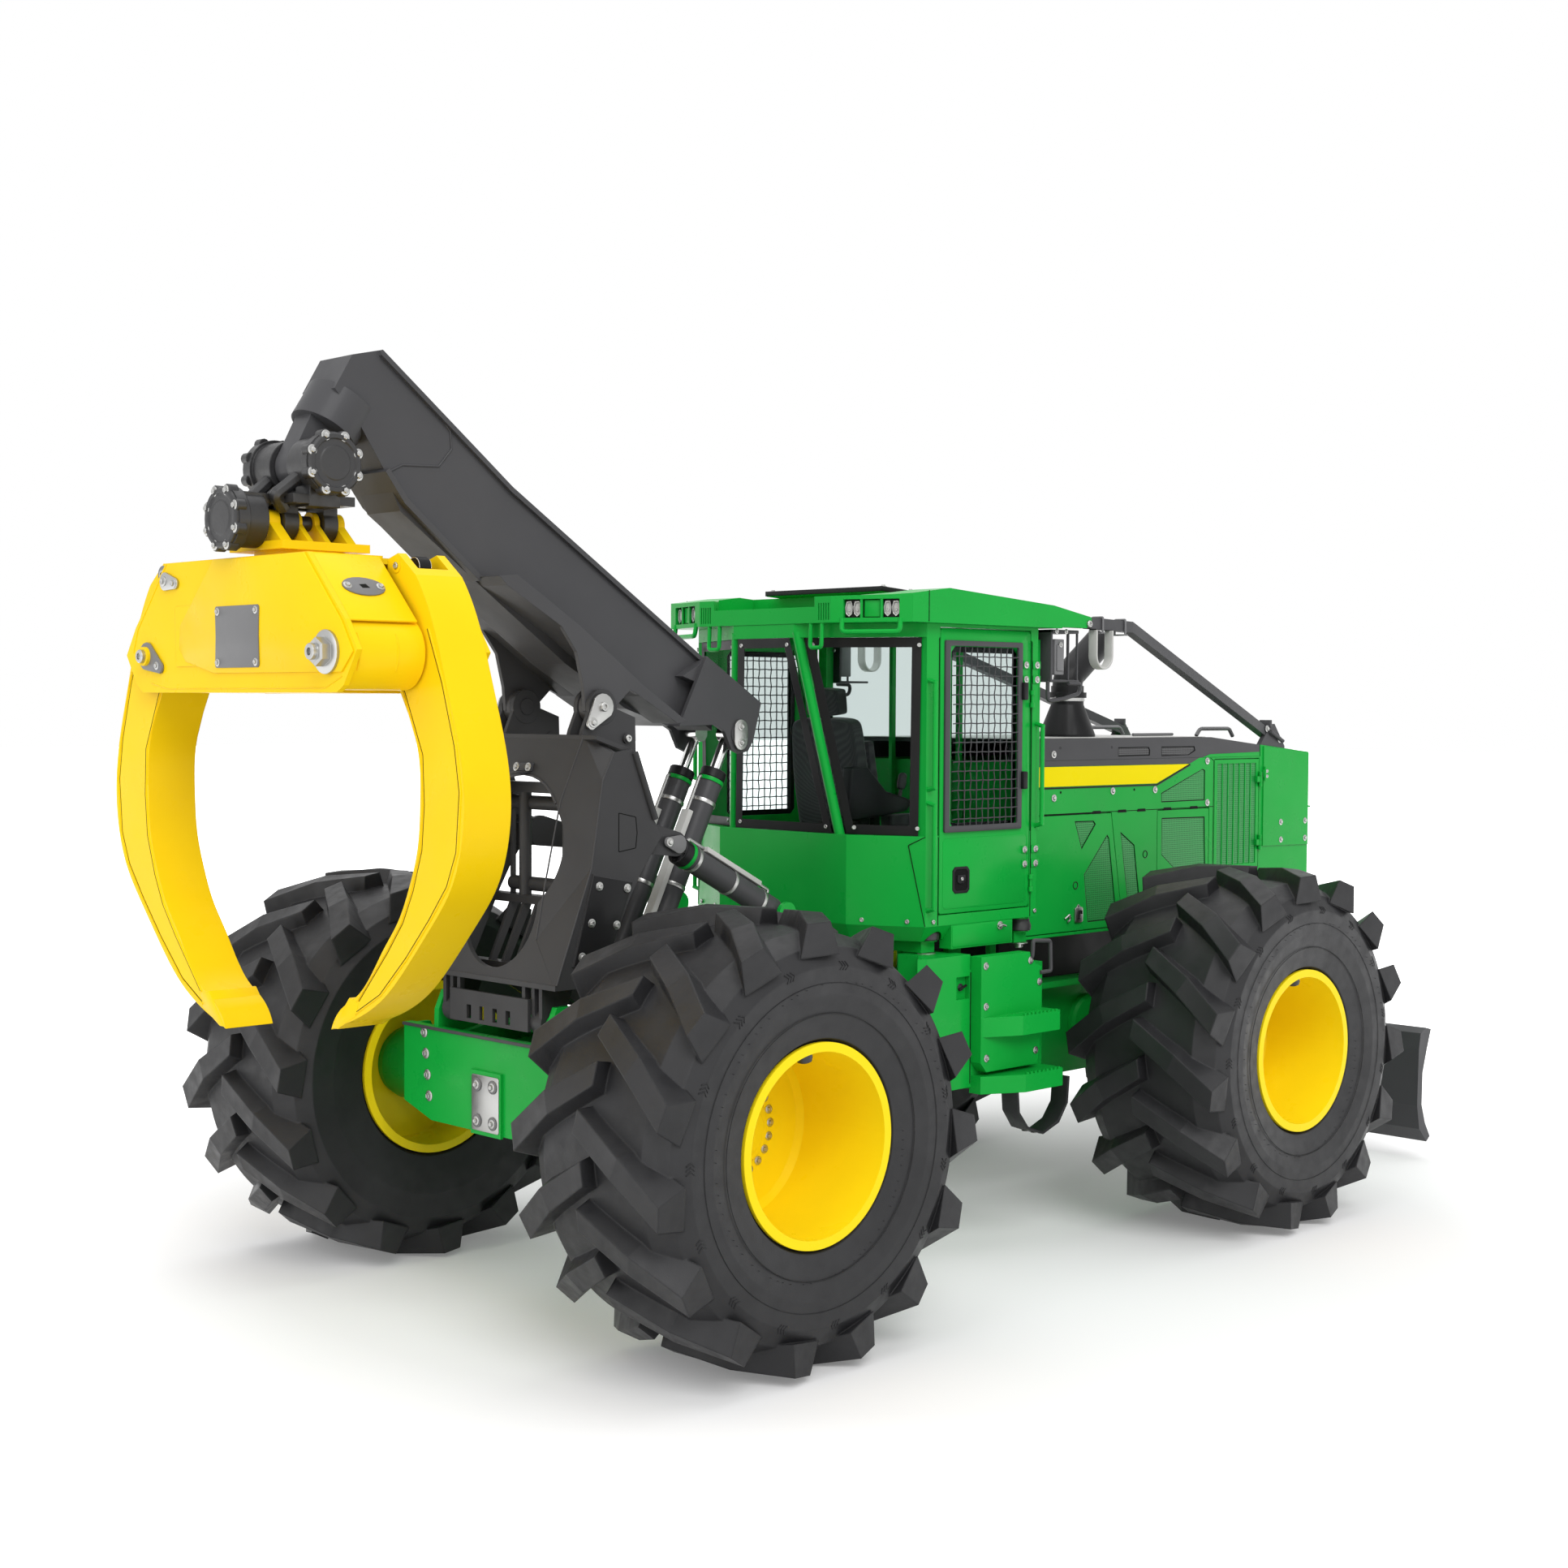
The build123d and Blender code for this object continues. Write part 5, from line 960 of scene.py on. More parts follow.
lip = seam("head_lip_rear", "grapple_head",
           [[(FACE_X, 700, 2905), (FACE_X, 560, 2880), (FACE_X, -700, 2880), (FACE_X, -820, 2925)],
                                             [(FACE_X, 560, 3420), (FACE_X, 820, 3140), (FACE_X, 860, 3040)]],
           0.003, yellow_paint)
turned_over(lip, "head_lip_front")

# %% Tong pins: a nut at one end and a lobed keeper at the other
nut = copies(kept_pattern(joined([turned_shape(28,
                                               [(0.088, 0), (0.088, 0.012), (0.082, 0.016), (0.05, 0.016)]),
                                  turned_shape(6,
                                               [(0.058, 0.014), (0.058, 0.055), (0.05, 0.062),
                                                (0.034, 0.062)]),
                                  turned_shape(20,
                                               [(0.033, 0.05), (0.033, 0.082), (0.03, 0.085), (0.016, 0.085),
                                                (0.014, 0.07)])])),
             [(at(FACE_X - 9, -728, 3022), (-1, 0, 0), 1.0)])
head_pair(nut, "tong_nut", zinc)


def lobe(x, y0, z0, r0, y1, z1, r1, plane="x", steps=9):
    """A keeper plate's outline: a large round end and a small one, joined by straight sides."""
    turn = Vector((y1 - y0, z1 - z0)).angle_signed(Vector((1, 0)))
    points = []
    for k in range(steps):
        a = turn + pi / 2 + pi * k / (steps - 1)
        points.append((y0 + r0 * cos(a), z0 + r0 * sin(a)))
    for k in range(steps):
        a = turn - pi / 2 + pi * k / (steps - 1)
        points.append((y1 + r1 * cos(a), z1 + r1 * sin(a)))
    return [at(x, p, q) if plane == "x" else at(p, x, q) for p, q in points]


keeper = plate(lobe(FACE_X - 2, 725, 3022, 62, 612, 2972, 26), (-0.012, 0, 0))
head_pair(keeper, "tong_keeper", grey_paint, 0.002)
pin = bolts("tong_pin_rear", "grapple_head", [(FACE_X - 30, 725, 3022)], (-1, 0, 0), 0.04, socket_head)
turned_over(pin, "tong_pin_front")
screws = bolts("keeper_bolts_rear", "grapple_head", [(FACE_X - 14, 628, 2980)], (-1, 0, 0), 0.014)
turned_over(screws, "keeper_bolts_front")

ear = plate(lobe(FACE_X - 1, 560, 3346, 40, 474, 3334, 24), (-0.012, 0, 0))
head_pair(ear, "cylinder_keeper", zinc, 0.002)
screws = bolts("cylinder_bolts_rear", "grapple_head", [(FACE_X - 13, 566, 3347), (FACE_X - 13, 478, 3335)],
               (-1, 0, 0), 0.017)
turned_over(screws, "cylinder_bolts_front")

# %% Sloped cover beside the tong, with its oval plate
slope = plate([at(FACE_X + 24, y, z) for y, z in ((-566, 3424), (-838, 3149), (-832, 3143), (-560, 3418))],
              (0.318, 0, 0))
head_pair(slope, "head_slope", yellow_paint, 0.002)
down = (at(0, -838, 3149) - at(0, -566, 3424)).normalized()
flat_out = Vector((0, down.z, -down.y))
flat_out = -flat_out if flat_out.z < 0 else flat_out
middle = at(FACE_X + 175, -705, 3285)
oval = [middle + Vector((1, 0, 0)) * 0.1 * cos(2 * pi * k / 20) + down * 0.052 * sin(2 * pi * k / 20)
        for k in range(20)]
head_pair(plate(oval, flat_out * 0.006), "oval_cover", grey_paint, 0.0015)
screws = copies(bolt_head,
                [(middle + Vector((k, 0, 0)) + flat_out * 0.006, flat_out, 0.011) for k in (-0.078, 0.078)])
head_pair(screws, "oval_bolts", zinc)
port = plate([middle + Vector((i, 0, 0)) + down * j + flat_out * 0.0062 for i,
              j in ((-0.02, -0.008), (0.012, -0.012), (0.024, 0.01), (-0.012, 0.012))],
             flat_out * 0.0006)
head_pair(port, "oval_port", dark_gap)
slots = seam("tube_slots_rear", "grapple_head",
             [[(x, -725 - 151 * cos(a), 3022 + 151 * sin(a)) for a in (-0.5, -0.25, 0, 0.25, 0.5)]
                                                 for x in (-1660, -1480)], 0.0045, yellow_paint)
turned_over(slots, "tube_slots_front")

# %% [markdown]
# The tongs are plate boxes: a lighter weld line follows their inner and outer edges, and the outer edge has
# shallow notches. Their cylinder's eye is black, held by a bright pin in the tong's ears.

# %% Tong edges, eyes and tips
TONG_X = HEAD_X + 45
OUTER = ((-885, 3120), (-985, 2900), (-1068, 2650), (-1100, 2470), (-1078, 2230), (-1014, 2090), (-890, 1945),
         (-728, 1778), (-540, 1610), (-350, 1512))
INNER = ((-612, 3020), (-706, 2860), (-828, 2613), (-838, 2410), (-820, 2225), (-757, 2055), (-684, 1920),
         (-574, 1790), (-362, 1568))
edges = seam("tong_welds_r", "tong_r",
             [[(x, y, z) for y, z in run] for run in (OUTER, INNER) for x in (TONG_X - 1, TONG_X + 231)],
             0.004, yellow_paint)
turned_over(edges, "tong_welds_l", "tong_l")
grooves = seam("tong_grooves_r", "tong_r",
               [[(x, y + dy, z) for y, z in run] for run, dy in ((OUTER, 14), (INNER, -12))
                for x in (TONG_X, TONG_X + 230)],
               0.0018, dark_gap)
turned_over(grooves, "tong_grooves_l", "tong_l")
pins = bolts("tong_ear_pins_r", "tong_r", [(TONG_X, -657, 3381)], (-1, 0, 0), 0.02, socket_head)
turned_over(pins, "tong_ear_pins_l", "tong_l")
pins = bolts("tong_ear_caps_r", "tong_r", [(TONG_X + 234, -657, 3381)], (1, 0, 0), 0.03, socket_head)
turned_over(pins, "tong_ear_caps_l", "tong_l")
ear = plate(lobe(TONG_X + 233, -657, 3381, 40, -620, 3330, 26), (0.01, 0, 0))
turned_over(hand_over(ear, "ear_keeper_r", "tong_r", grey_paint, 0.0015), "ear_keeper_l", "tong_l")
eye = copies(kept_pattern(turned_shape(24, [(0.036, 0), (0.043, 0.005), (0.043, 0.057), (0.036, 0.062)])),
             [(at(TONG_X + 84, -657, 3381), (1, 0, 0), 1.0)])
turned_over(hand_over(eye, "rod_eye_r", "tong_rod_r", black_paint), "rod_eye_l", "tong_rod_l")
chisel = plate([at(TONG_X - 2, y, z) for y,
                z in ((-350, 1500), (-372, 1560), (-300, 1576), (-168, 1432), (-210, 1432))], (0.234, 0, 0))
turned_over(hand_over(chisel, "tong_chisel_r", "tong_r", yellow_paint, 0.004), "tong_chisel_l", "tong_l")

# %% [markdown]
# ## Crosshead
# Two castings cross under the boom tip, each closed by a round cap with eight bolts on ears. The caps stay
# plain.

# %% Caps
cap = kept_pattern(turned_shape(40,
                                [(0.128, -0.004), (0.128, 0.012), (0.12, 0.02), (0.104, 0.02), (0.1, 0.013),
                                 (0.075, 0.013), (0.07, 0.017), (0.03, 0.018)]))
ear_mesh = kept_pattern(turned_shape(12, [(0.026, -0.03), (0.026, 0.012), (0.022, 0.016), (0.012, 0.016)]))


def cap_set(name, middle, normal, up_angle):
    """A cap, its ears and bolts, about a middle and facing along a normal."""
    side = Vector(normal).cross(Vector((0, 0, 1))).normalized()
    ring = [middle + (side * cos(a) + Vector((0, 0, 1)) * sin(a)) * 0.121
            for a in (up_angle + 2 * pi * k / 8 for k in range(8))]
    body = joined([copies(cap, [(middle, normal, 1.0)]), copies(ear_mesh, [(p, normal, 1.0) for p in ring])])
    hand_over(body, name, "crosshead", black_casting)
    heads = copies(bolt_head, [(p + Vector(normal) * 0.014, normal, 0.0125) for p in ring])
    hand_over(heads, name + "_bolts", "crosshead", zinc)


cap_set("side_cap_right", at(-1372, -245, 3826), (0, -1, 0), 0.39)
cap_set("side_cap_left", at(-1372, 256, 3826), (0, 1, 0), 0.39)
cap_set("rear_cap", at(-1748, 0, 3587), (-1, 0, 0), 0.39)
ribs = []
for s in (-1, 1):
    ribs.append(tube([at(-1500, s * 60, 3640), at(-1560, s * 95, 3690), at(-1440, s * 120, 3790),
                      at(-1380, s * 110, 3850)], 0.03, 0.03))
ribs.append(tube([at(-1590, -60, 3660), at(-1590, 60, 3660)], 0.026, 0.03))
hand_over(joined(ribs), "crosshead_ribs", "crosshead", black_casting)
bolts("hanger_pins", "hanger", [(-1563, 0, 3587), (-1429, 0, 3587)], (-1, 0, 0), 0.034, socket_head)

# %% [markdown]
# ## Boom and arch
# The boom is folded plate with welds along its folds, keeper plates on its pins and a bolted cover on each
# side of the arch. Welds are drawn as thin ridges along the joint, in the paint of the plate, because paint
# covers them on the machine.

# %% Boom tip and beam
weld = seam("boom_tip_welds_r", "boom",
            [[(-756, -128, 4098), (-694, -128, 4030), (-687, -128, 3951), (-757, -128, 3870),
              (-948, -128, 3861), (-1010, -128, 3830)]],
            0.005, charcoal_paint)
other_side(weld, "boom_tip_welds_l")
keeper = plate(lobe(-216, 998, 2705, 44, 998, 2640, 44, "y"), (0, -0.012, 0))
pair(keeper, "lift_pin_keeper", "boom", zinc, 0.002)
bolts("lift_pin_bolts", "boom", [(998, -228, 2712), (998, -228, 2632)], (0, -1, 0), 0.016, twin=True)

# %% Pivot keepers on the arch
keeper = plate(lobe(-354, -7, 2809, 62, -74, 2728, 26, "y"), (0, -0.012, 0))
pair(keeper, "boom_pin_keeper", "arch", zinc, 0.002)
bolts("boom_pin_bolt", "arch", [(-68, -366, 2736)], (0, -1, 0), 0.018, twin=True)
bolts("boom_pin_end", "arch", [(-7, -366, 2809)], (0, -1, 0), 0.03, socket_head, twin=True)
bolts("boom_stop_pin", "arch", [(150, -354, 2662)], (0, -1, 0), 0.024, socket_head, twin=True)
keeper = plate(lobe(-485, 352, 2165, 44, 285, 2178, 24, "y"), (0, -0.01, 0))
pair(keeper, "arch_pin_keeper", "arch", grey_paint, 0.002)
bolts("arch_pin_bolt", "arch", [(290, -495, 2177)], (0, -1, 0), 0.016, twin=True)

# %% Arch side covers, recess and back plate
cover = plate(on_side(-508.5, ((-176, 2044), (46, 2002), (-114, 1606), (-292, 1644))), (0, -0.003, 0))
pair(cover, "arch_cover", "arch", black_paint, 0.001)
bolts("arch_cover_bolts", "arch",
      [(-150, -512, 1995), (15, -512, 1978), (-195, -512, 1830), (-48, -512, 1812), (-250, -512, 1680),
       (-130, -512, 1655)],
      (0, -1, 0), 0.016, twin=True)
recess = seam("arch_recess_r", "arch",
              [[(-26, -500.5, 2324), (75, -500.5, 2303), (84, -500.5, 2230), (75, -500.5, 2160),
                (-26, -500.5, 2146), (-26, -500.5, 2324)]], 0.002)
other_side(recess, "arch_recess_l")


def back_of_arch(z):
    """How far back the arch's rear plate stands at a height."""
    return -395 + (z - 1536) * (255 / 1144)


hand_over(joined([plate([at(back_of_arch(z) - 1, y, z) for y,
                         z in ((-60, 2508), (60, 2508), (60, 2546), (-60, 2546))], (-0.02, 0, 0)),
                  plate([at(back_of_arch(2520) - 20, y, z) for y,
                         z in ((-45, 2500), (45, 2500), (45, 2506), (-45, 2506))], (-0.07, 0, 0))]),
          "back_bracket", "arch", charcoal_paint, 0.002)
bolts("back_bracket_bolts", "arch", [(back_of_arch(2527) - 21, y, 2527) for y in (-45, 45)], (-1, 0, 0.22),
      0.016)
ring = seam("opening_welds", "arch",
            [[(back_of_arch(2140 + 352 * sin(a)) - 1, 352 * cos(a), 2140 + 352 * sin(a))
              for a in (pi * (0.22 + 0.56 * k / 10) for k in range(11))]],
            0.006, charcoal_paint)
fold = seam("arch_folds_r", "arch",
            [[(-345, -299, 1750), (-292, -293, 1990), (-208, -301, 2373), (-140, -386, 2676)],
                                     [(-388, -501, 1560), (-187, -501, 2079), (-123, -501, 2474),
                                      (-60, -501, 2598)]], 0.004, charcoal_paint)
other_side(fold, "arch_folds_l")

# %% [markdown]
# ## Cylinders
# Each barrel has a gland nut at its mouth and bands. All but the tongs' barrels, which run inside the head,
# have a pipe and a guard. The ring parts are turned once for a barrel size and set along its axis, so they
# ride on the barrel as it swings.

# %% Barrel fittings
gland = kept_pattern(turned_shape(24,
                                  [(0.058, -0.05), (0.066, -0.045), (0.066, -0.004), (0.06, 0.0),
                                   (0.045, 0.0)]))
bpy.ops.object.select_all(action="DESELECT")
bpy.ops.mesh.primitive_torus_add(major_radius=0.0635, minor_radius=0.0035, major_segments=32,
                                 minor_segments=6)
only(bpy.context.object)
bpy.ops.object.mode_set(mode="EDIT")
bpy.ops.transform.resize(value=(1, 1, 3.2))
bpy.ops.object.mode_set(mode="OBJECT")
band = kept_pattern(bpy.context.object)


def barrel_fittings(name, body, base, tip, share, radius, outward, finish, pipe_from=0.2, piped=True):
    """Gland, bands, and where there is room a pipe and its guard on one barrel, given its pins in drawing millimetres."""
    a, b = at(*base), at(*tip)
    along = (b - a).normalized()
    reach = (b - a).length * share
    out = Vector(outward) - along * along.dot(Vector(outward))
    out.normalize()
    side = along.cross(out)
    size = radius / 0.062
    hand_over(copies(gland, [(a + along * reach, along, size)]), name + "_gland", body, black_paint)
    hand_over(copies(band, [(a + along * (reach - 0.06 * size), along, size * 1.02)]), name + "_ring", body,
              finish)
    places = [a + along * reach * k for k in (pipe_from, 0.5, 0.86)]
    hand_over(copies(band, [(p, along, size) for p in places]), name + "_bands", body, zinc)
    if not piped:
        return
    ends = [a + along * reach * k + out * (radius + 0.012) for k in (pipe_from - 0.06, 0.95)]
    pipe = tube([ends[0] - out * 0.02, ends[0] + out * 0.004, ends[1] + out * 0.004, ends[1] - out * 0.02],
                0.009, 0.02)
    hand_over(pipe, name + "_pipe", body, zinc)
    low, high = (a + along * reach * k + out * (radius + 0.002) for k in (pipe_from + 0.05, 0.8))
    wide, deep = side * radius * 0.55, out * 0.026
    guard = plate([low - wide, low - wide * 0.8 + deep, low + wide * 0.8 + deep, low + wide], high - low)
    hand_over(guard, name + "_guard", body, pale_paint, 0.003)


for side, tail in ((1, "_l"), (-1, "_r")):
    barrel_fittings("boom_barrel" + tail, "boom_cyl_barrels", (362, side * 118, 1368),
                    (1005, side * 118, 2675), 0.86, 0.062, (-1, 0, 0.3), green_paint)
    barrel_fittings("arch_barrel" + tail, "arch_cyl_barrels", (1075, side * 400, 1790),
                    (352, side * 400, 2165), 0.9, 0.062, (0.2, 0, 1), green_paint)
    barrel_fittings("blade_barrel" + tail, "blade_cyl_barrels", (5305, side * 135, 1115),
                    (5660, side * 135, 510), 0.58, 0.04, (1, 0, 0.3), green_paint)
barrel_fittings("tong_barrel_fit_r", "tong_barrel_r", (-1225, 360, 3195), (-1225, -657, 3381), 0.64, 0.052,
                (0, 0, 1), green_paint, piped=False)
barrel_fittings("tong_barrel_fit_l", "tong_barrel_l", (2 * HEAD_X + 1225, -360, 3195),
                (2 * HEAD_X + 1225, 657, 3381), 0.64, 0.052, (0, 0, 1), green_paint, piped=False)

# %% [markdown]
# ## Wheels
# Beside each lug a forestry tyre has moulded chevrons that point the way it rolls, thin raised rings, and
# small rubber whiskers left by the vents of its mould. A ray cast at the sidewall finds the height on which
# each of them stands. Each rim carries a ring of wheel bolts on its inner disc, a valve in its barrel and a
# hub cap.

# %% Tyre mouldings
WHEEL_Y, AXLE_Z, WALL = -1367.5, 976, 452
WHEELBASE, LUGS, CHEVRON_R, WHEEL_BOLTS = 3708, 15, 762, 22
SPOTS = {"rl": (0, 1), "rr": (0, -1), "fl": (WHEELBASE, 1), "fr": (WHEELBASE, -1)}
marks = []
tyre_solid = nodes["tyre_rr"]


def on_wall(r, a):
    """Where a ray from outside meets the sidewall, at a radius in millimetres and an angle."""
    start = at(r * cos(a), WHEEL_Y - 900, AXLE_Z + r * sin(a))
    hit, place, normal, face = tyre_solid.ray_cast(start, Vector((0, 1, 0)))
    return place


for k in range(LUGS):
    turn = 2 * pi * (k + 0.35) / LUGS
    for j in range(3):
        lead = turn + j * 17 / CHEVRON_R
        for s in (-1, 1):
            edge_r = CHEVRON_R + s * 19
            corners = [(CHEVRON_R, lead), (edge_r, lead + 15 / CHEVRON_R), (edge_r, lead + 21 / CHEVRON_R),
                       (CHEVRON_R, lead + 6 / CHEVRON_R)]
            marks.append(plate([on_wall(r, a) + Vector((0, 0.002, 0)) for r, a in corners], (0, -0.005, 0)))
whisker = kept_pattern(turned_shape(5, [(0.0013, -0.002), (0.0011, 0.006), (0.0006, 0.008)]))
marks.append(copies(whisker,
                    [(on_wall(500 + 250 * (k * 0.618 % 1), 2.4 * k), (0, -1, 0), 1.0) for k in range(70)]))
chevrons = joined(marks)
for r, thick in ((690, 0.0014), (560, 0.0024)):
    bpy.ops.object.select_all(action="DESELECT")
    bpy.ops.mesh.primitive_torus_add(major_radius=r / 1000, minor_radius=thick, major_segments=96,
                                     minor_segments=6,
                                     location=at(0, WHEEL_Y - WALL + (0 if r > 600 else 14), AXLE_Z),
                                     rotation=(pi / 2, 0, 0))
    only(bpy.context.object)
    bpy.ops.object.mode_set(mode="EDIT")
    bpy.ops.transform.resize(value=(1, 0.8, 1))
    bpy.ops.object.mode_set(mode="OBJECT")
    chevrons = joined([chevrons, bpy.context.object])
only(chevrons)
bpy.ops.object.transform_apply(location=True, rotation=True, scale=True)
moulding = kept_pattern(chevrons)

# %% Wheel bolts, valve and hub cap
ring = [(at(212 * cos(a), WHEEL_Y + 110, AXLE_Z + 212 * sin(a)), (0, -1, 0), 0.0115)
        for a in (2 * pi * k / WHEEL_BOLTS for k in range(WHEEL_BOLTS))]
wheel_bolts = kept_pattern(copies(bolt_head, ring))
knob = kept_pattern(turned_shape(18, [(0.036, 0), (0.036, 0.022), (0.031, 0.036), (0.018, 0.042)]))
valve = kept_pattern(copies(knob, [(at(-56, WHEEL_Y - 368, AXLE_Z + 393), (0.14, 0, -1), 1.0)]))
ring = kept_pattern(turned_shape(48, [(0.15, 0.0), (0.15, 0.012), (0.142, 0.016), (0.06, 0.016)]))
hub_ring = kept_pattern(copies(ring, [(at(0, WHEEL_Y + 45, AXLE_Z), (0, -1, 0), 0.7)]))
# The hub caps share the rims' lighter yellow, which is painted light.
for spot, (x, side) in SPOTS.items():
    for mesh, label, finish in ((moulding, "tyre_marks_", tyre_rubber), (wheel_bolts, "wheel_bolts_", zinc),
                                (valve, "valve_", black_casting), (hub_ring, "hub_cap_", rim_yellow_painted_light)):
        obj = bpy.data.objects.new("copy", mesh.copy())
        bpy.context.collection.objects.link(obj)
        obj.data.transform(Matrix.Translation((x / 1000, 0, 0)))
        if side > 0:
            obj.data.transform(Matrix.Scale(-1, 4, (0, 1, 0)))
            obj.data.flip_normals()
        hand_over(obj, label + spot, "wheel_" + spot, finish)

# %% [markdown]
# ## Rear bumper and hitch
# Eight bolts hold the arch's stops to the bumper, and a bright bolted plate closes the hitch.

# %% Bumper
bolts("bumper_bolts", "rear",
      [(-395, s * (507 - 13.3 * k), 1243 - 101 * k) for s in (-1, 1) for k in range(4)], (-1, 0, 0), 0.02)
tag = plate([at(-409.5, y, z) for y,
             z in ((-96, 834), (-104, 842), (-104, 1088), (-96, 1096), (96, 1096), (104, 1088), (104, 842),
                   (96, 834))], (-0.003, 0, 0))
hand_over(tag, "hitch_cover", "rear", zinc, 0.001)
rings = copies(kept_pattern(turned_shape(24,
                                         [(0.032, -0.001), (0.032, 0.004), (0.029, 0.006), (0.016, 0.006)])),
               [(at(-413, y, z), (-1, 0, 0), 1.0) for y in (-60, 60) for z in (880, 1050)])
hand_over(rings, "hitch_rings", "rear", grey_paint)
bolts("hitch_bolts", "rear", [(-418, y, z) for y in (-60, 60) for z in (880, 1050)], (-1, 0, 0), 0.017)
ledge = plate([at(-396, y, z) for y, z in ((-677, 1262), (677, 1262), (677, 1277), (-677, 1277))],
              (-0.01, 0, 0))
hand_over(ledge, "bumper_lip", "rear", charcoal_paint, 0.002)

# %% [markdown]
# ## Steps, mounts and side tank
# The cab rides on rubber mounts. Below it are a bolted step panel, a latch in a recess, a handle and a
# hanging rubber step.

# %% Step panel
bolts("step_bolts", "front",
      [(1979, -1001, 1503), (2335, -1001, 1505), (2410, -1001, 1388), (1982, -1001, 1296),
       (1988, -1001, 1031), (2382, -1001, 1032)],
      (0, -1, 0), 0.015, twin=True)
bolts("tank_latch", "front", [(1897, -901, 1393)], (0, -1, 0), 0.026, lock_cup, charcoal_paint, twin=True)
tee = tube([at(1870, -916, 1384), at(1897, -918, 1393), at(1924, -916, 1402)], 0.007, 0.008)
pair(tee, "tank_tee", "front", black_paint)
grip = tube([at(2346, -955, 1500), at(2346, -1004, 1520), at(2346, -1008, 1608), at(2487, -1008, 1597),
             at(2494, -1008, 1438), at(2412, -1003, 1436)], 0.011, 0.03)
pair(grip, "side_grip", "front", charcoal_paint)
path = [(2132, 885), (2146, 745), (2218, 650), (2349, 606), (2480, 650), (2552, 745), (2566, 885)]
inner = [(x + (2349 - x) * 0.06, z + 13 if 2200 < x < 2500 else z) for x, z in path]
sling = plate([at(x, -1086, z) for x, z in path + inner[::-1]], (0, 0.11, 0))
pair(sling, "hanging_step", "front", tyre_rubber, 0.003)
bolts("sling_bolts", "front", [(2349 + s, y, 618) for s in (-40, 40) for y in (-1060, -1000)], (0, 0, 1),
      0.016, twin=True)
seams = seam("step_seams_r", "front",
             [[(1942, -931, 900), (1942, -931, 1470)], [(1700, -901, 1500), (1700, -901, 1500)]], 0.0025)
other_side(seams, "step_seams_l")

# %% Rubber mounts
bell = kept_pattern(turned_shape(24,
                                 [(0.05, 0.0), (0.064, 0.006), (0.066, 0.03), (0.058, 0.05), (0.056, 0.066)]))
foot = kept_pattern(turned_shape(20,
                                 [(0.048, 0.0), (0.048, 0.005), (0.022, 0.007), (0.022, 0.026),
                                  (0.016, 0.03)]))
for x, tail in ((1805, "_back"), (2542, "_front")):
    pair(copies(bell, [(at(x, -750, 1626), (0, 0, 1), 1.0)]), "mount" + tail, "front", black_casting)
    pair(copies(foot, [(at(x, -750, 1564), (0, 0, -1), 1.0)]), "mount_foot" + tail, "front", zinc)

# %% [markdown]
# ## Seat and controls
# The seat is foam under woven cloth on a folded rubber suspension. Foam bulges between its edges, so each pad
# starts as a finely divided block that is drawn a little towards a ball, smoothed and subdivided. The console
# carries a lever and a screen arm.

# %% Foam pads
def foam(name, low, high, lean=0.0, puff=0.14):
    """A stuffed pad between two corners, leaned about its lower back edge."""
    pad = block(low, high)
    bpy.ops.object.mode_set(mode="EDIT")
    bpy.ops.mesh.select_all(action="SELECT")
    bpy.ops.mesh.subdivide(number_cuts=9)
    bpy.ops.object.mode_set(mode="OBJECT")
    bpy.ops.object.origin_set(type="ORIGIN_GEOMETRY")
    for kind, settings in (("CAST", {"factor": puff}), ("SMOOTH", {"factor": 0.5, "iterations": 5}),
                           ("SUBSURF", {"levels": 1, "render_levels": 1})):
        change = pad.modifiers.new(kind.lower(), kind)
        for key, value in settings.items():
            setattr(change, key, value)
        bpy.ops.object.modifier_apply(modifier=change.name)
    bpy.ops.object.transform_apply(location=True)
    foot = at(low[0], 0, low[2])
    pad.data.transform(Matrix.Translation(foot) @ Matrix.Rotation(-lean, 4, "Y") @ Matrix.Translation(-foot))
    hand_over(pad, name, "front", cloth)
    return pad


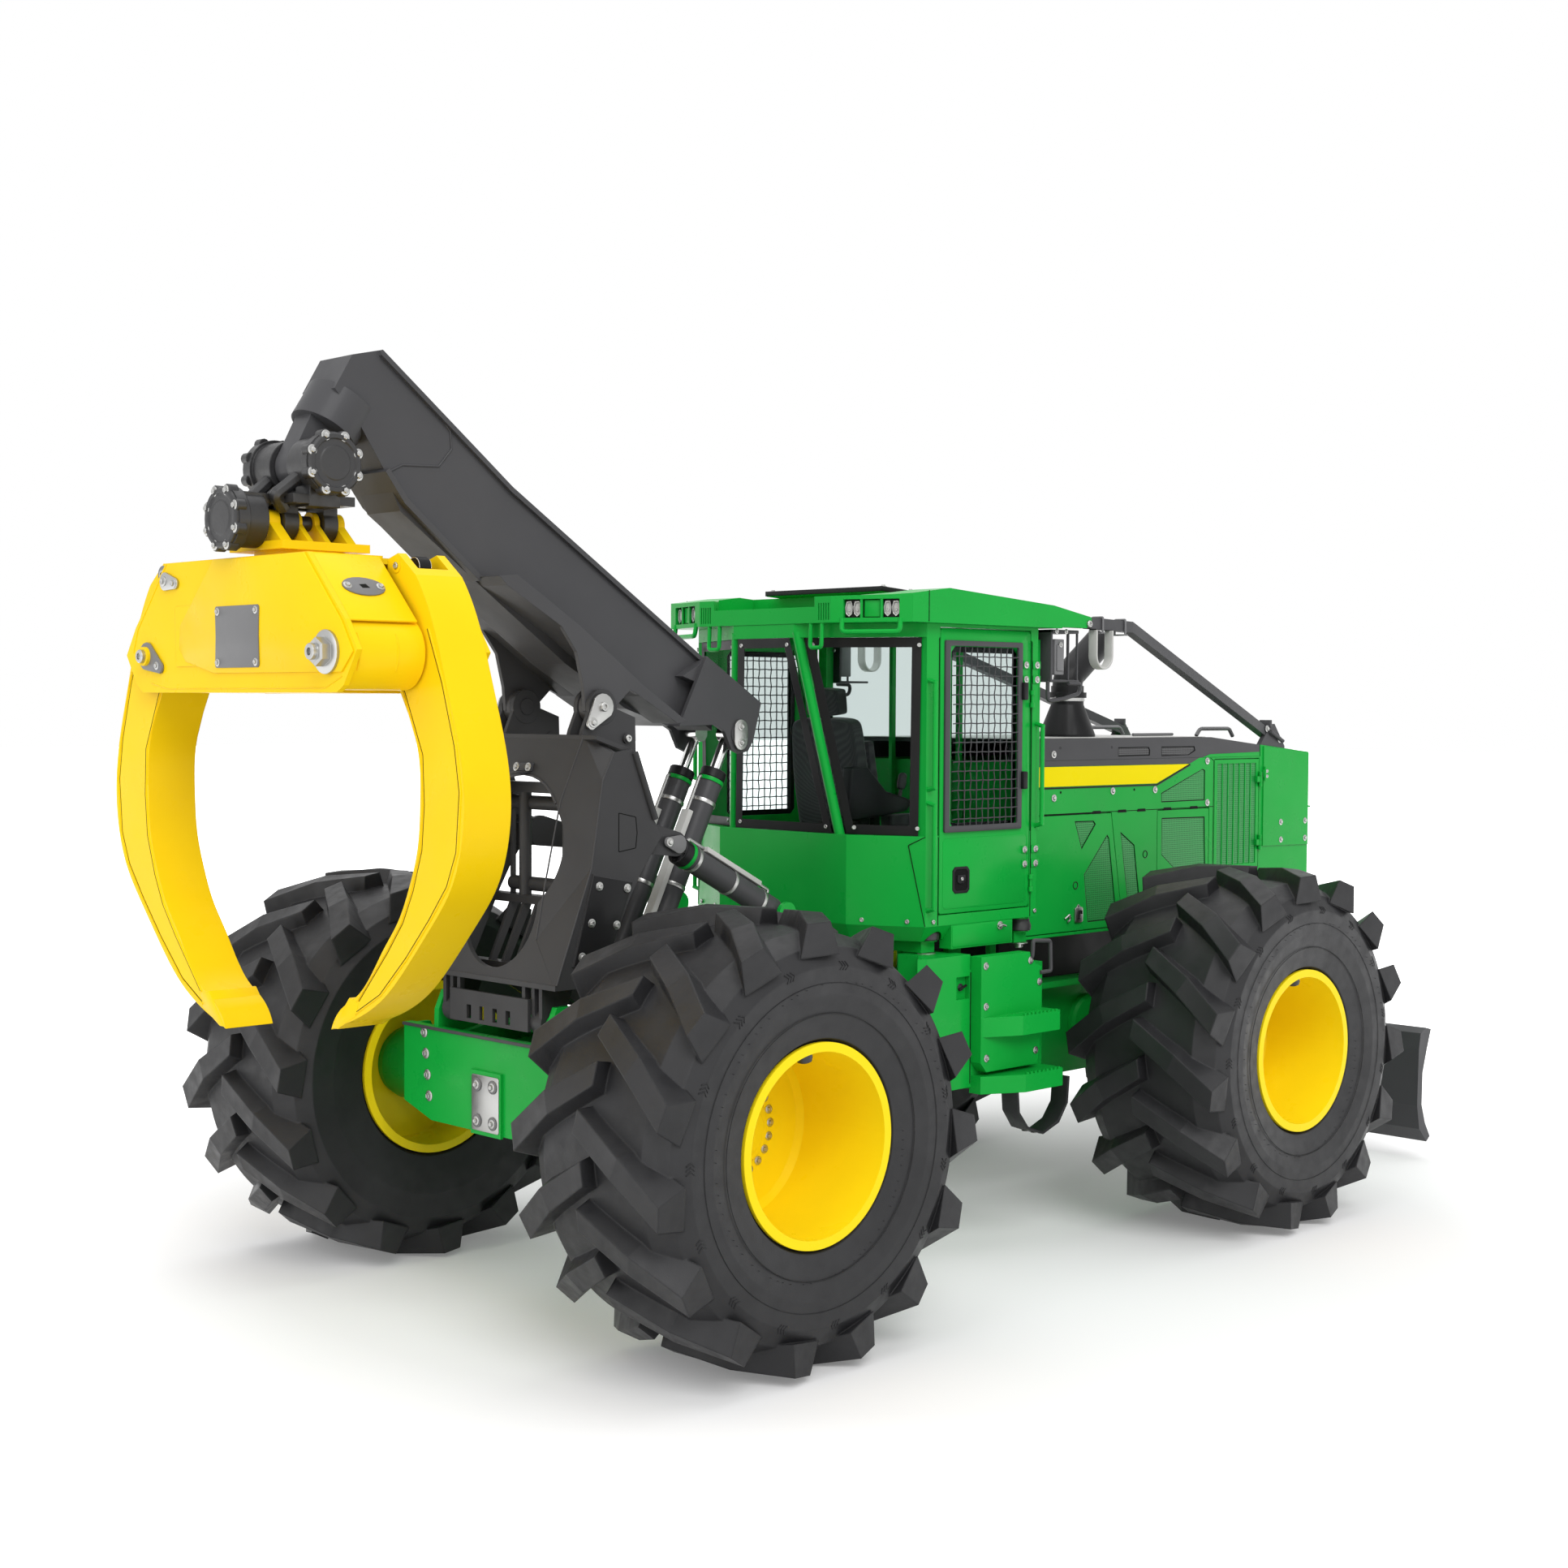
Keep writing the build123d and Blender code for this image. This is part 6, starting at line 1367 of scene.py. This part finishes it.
cushion = foam("seat_cushion", (1895, -255, 2000), (2385, 255, 2135))
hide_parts("seat")
foam("seat_back", (1858, -235, 2115), (1958, 235, 2760), radians(7))
foam("seat_headrest", (1800, -125, 2765), (1880, 125, 2905), radians(7))
for s, tail in ((1, "_l"), (-1, "_r")):
    foam("seat_bolster" + tail, (1960, min(s * 175, s * 240), 2150), (2010, max(s * 175, s * 240), 2640),
         radians(7), 0.08)
    foam("seat_arm" + tail, (1960, min(s * 268, s * 345), 2185), (2300, max(s * 268, s * 345), 2245), 0, 0.06)
folds = [block((1950 + k % 2 * 14, -215 + k % 2 * 14, 1741 + 33 * k),
               (2320 - k % 2 * 14, 215 - k % 2 * 14, 1741 + 33 * (k + 1))) for k in range(8)]
hand_over(joined(folds), "seat_suspension", "front", tyre_rubber, 0.006)
posts = [block((2000, min(s * 258, s * 300), 2050), (2055, max(s * 258, s * 300), 2195)) for s in (-1, 1)]
posts += [block((1850, -200, 2040), (1880, 200, 2420)), block((1800, -60, 2690), (1822, 60, 2800))]
hand_over(joined(posts), "seat_posts", "front", black_paint, 0.004)

# %% Console, lever and screen
console = plate(on_side(-352,
                        ((1640, 2240), (1700, 2222), (2090, 2262), (2118, 2290), (2100, 2330), (1930, 2372),
                         (1790, 2500), (1670, 2500))),
                (0, 0.07, 0))
hand_over(console, "side_console", "front", black_paint, 0.01, 3)
grip = copies(kept_pattern(turned_shape(14,
                                        [(0.02, 0), (0.011, 0.006), (0.009, 0.05), (0.021, 0.06),
                                         (0.025, 0.085), (0.022, 0.13), (0.012, 0.142)])),
              [(at(2065, -318, 2325), (0.2, 0, 1), 1.0)])
hand_over(grip, "lever", "front", black_casting)
arm = tube([at(2095, -318, 2300), at(2230, -318, 2330), at(2345, -300, 2600), at(2350, -290, 2680)], 0.012,
           0.06)
hand_over(arm, "screen_arm", "front", black_paint)
screen = joined([block((2345, -372, 2610), (2380, -200, 2800)),
                 block((2338, -360, 2622), (2346, -212, 2788))])
hand_over(screen, "screen", "front", black_paint, 0.006, 3)
pedals = [plate([at(x, y, z) for x, z in ((2420, 1742), (2450, 1746), (2560, 1850), (2548, 1862))],
                (0, 0.09, 0)) for y in (-150, 60)]
hand_over(joined(pedals), "pedals", "front", black_casting, 0.003)
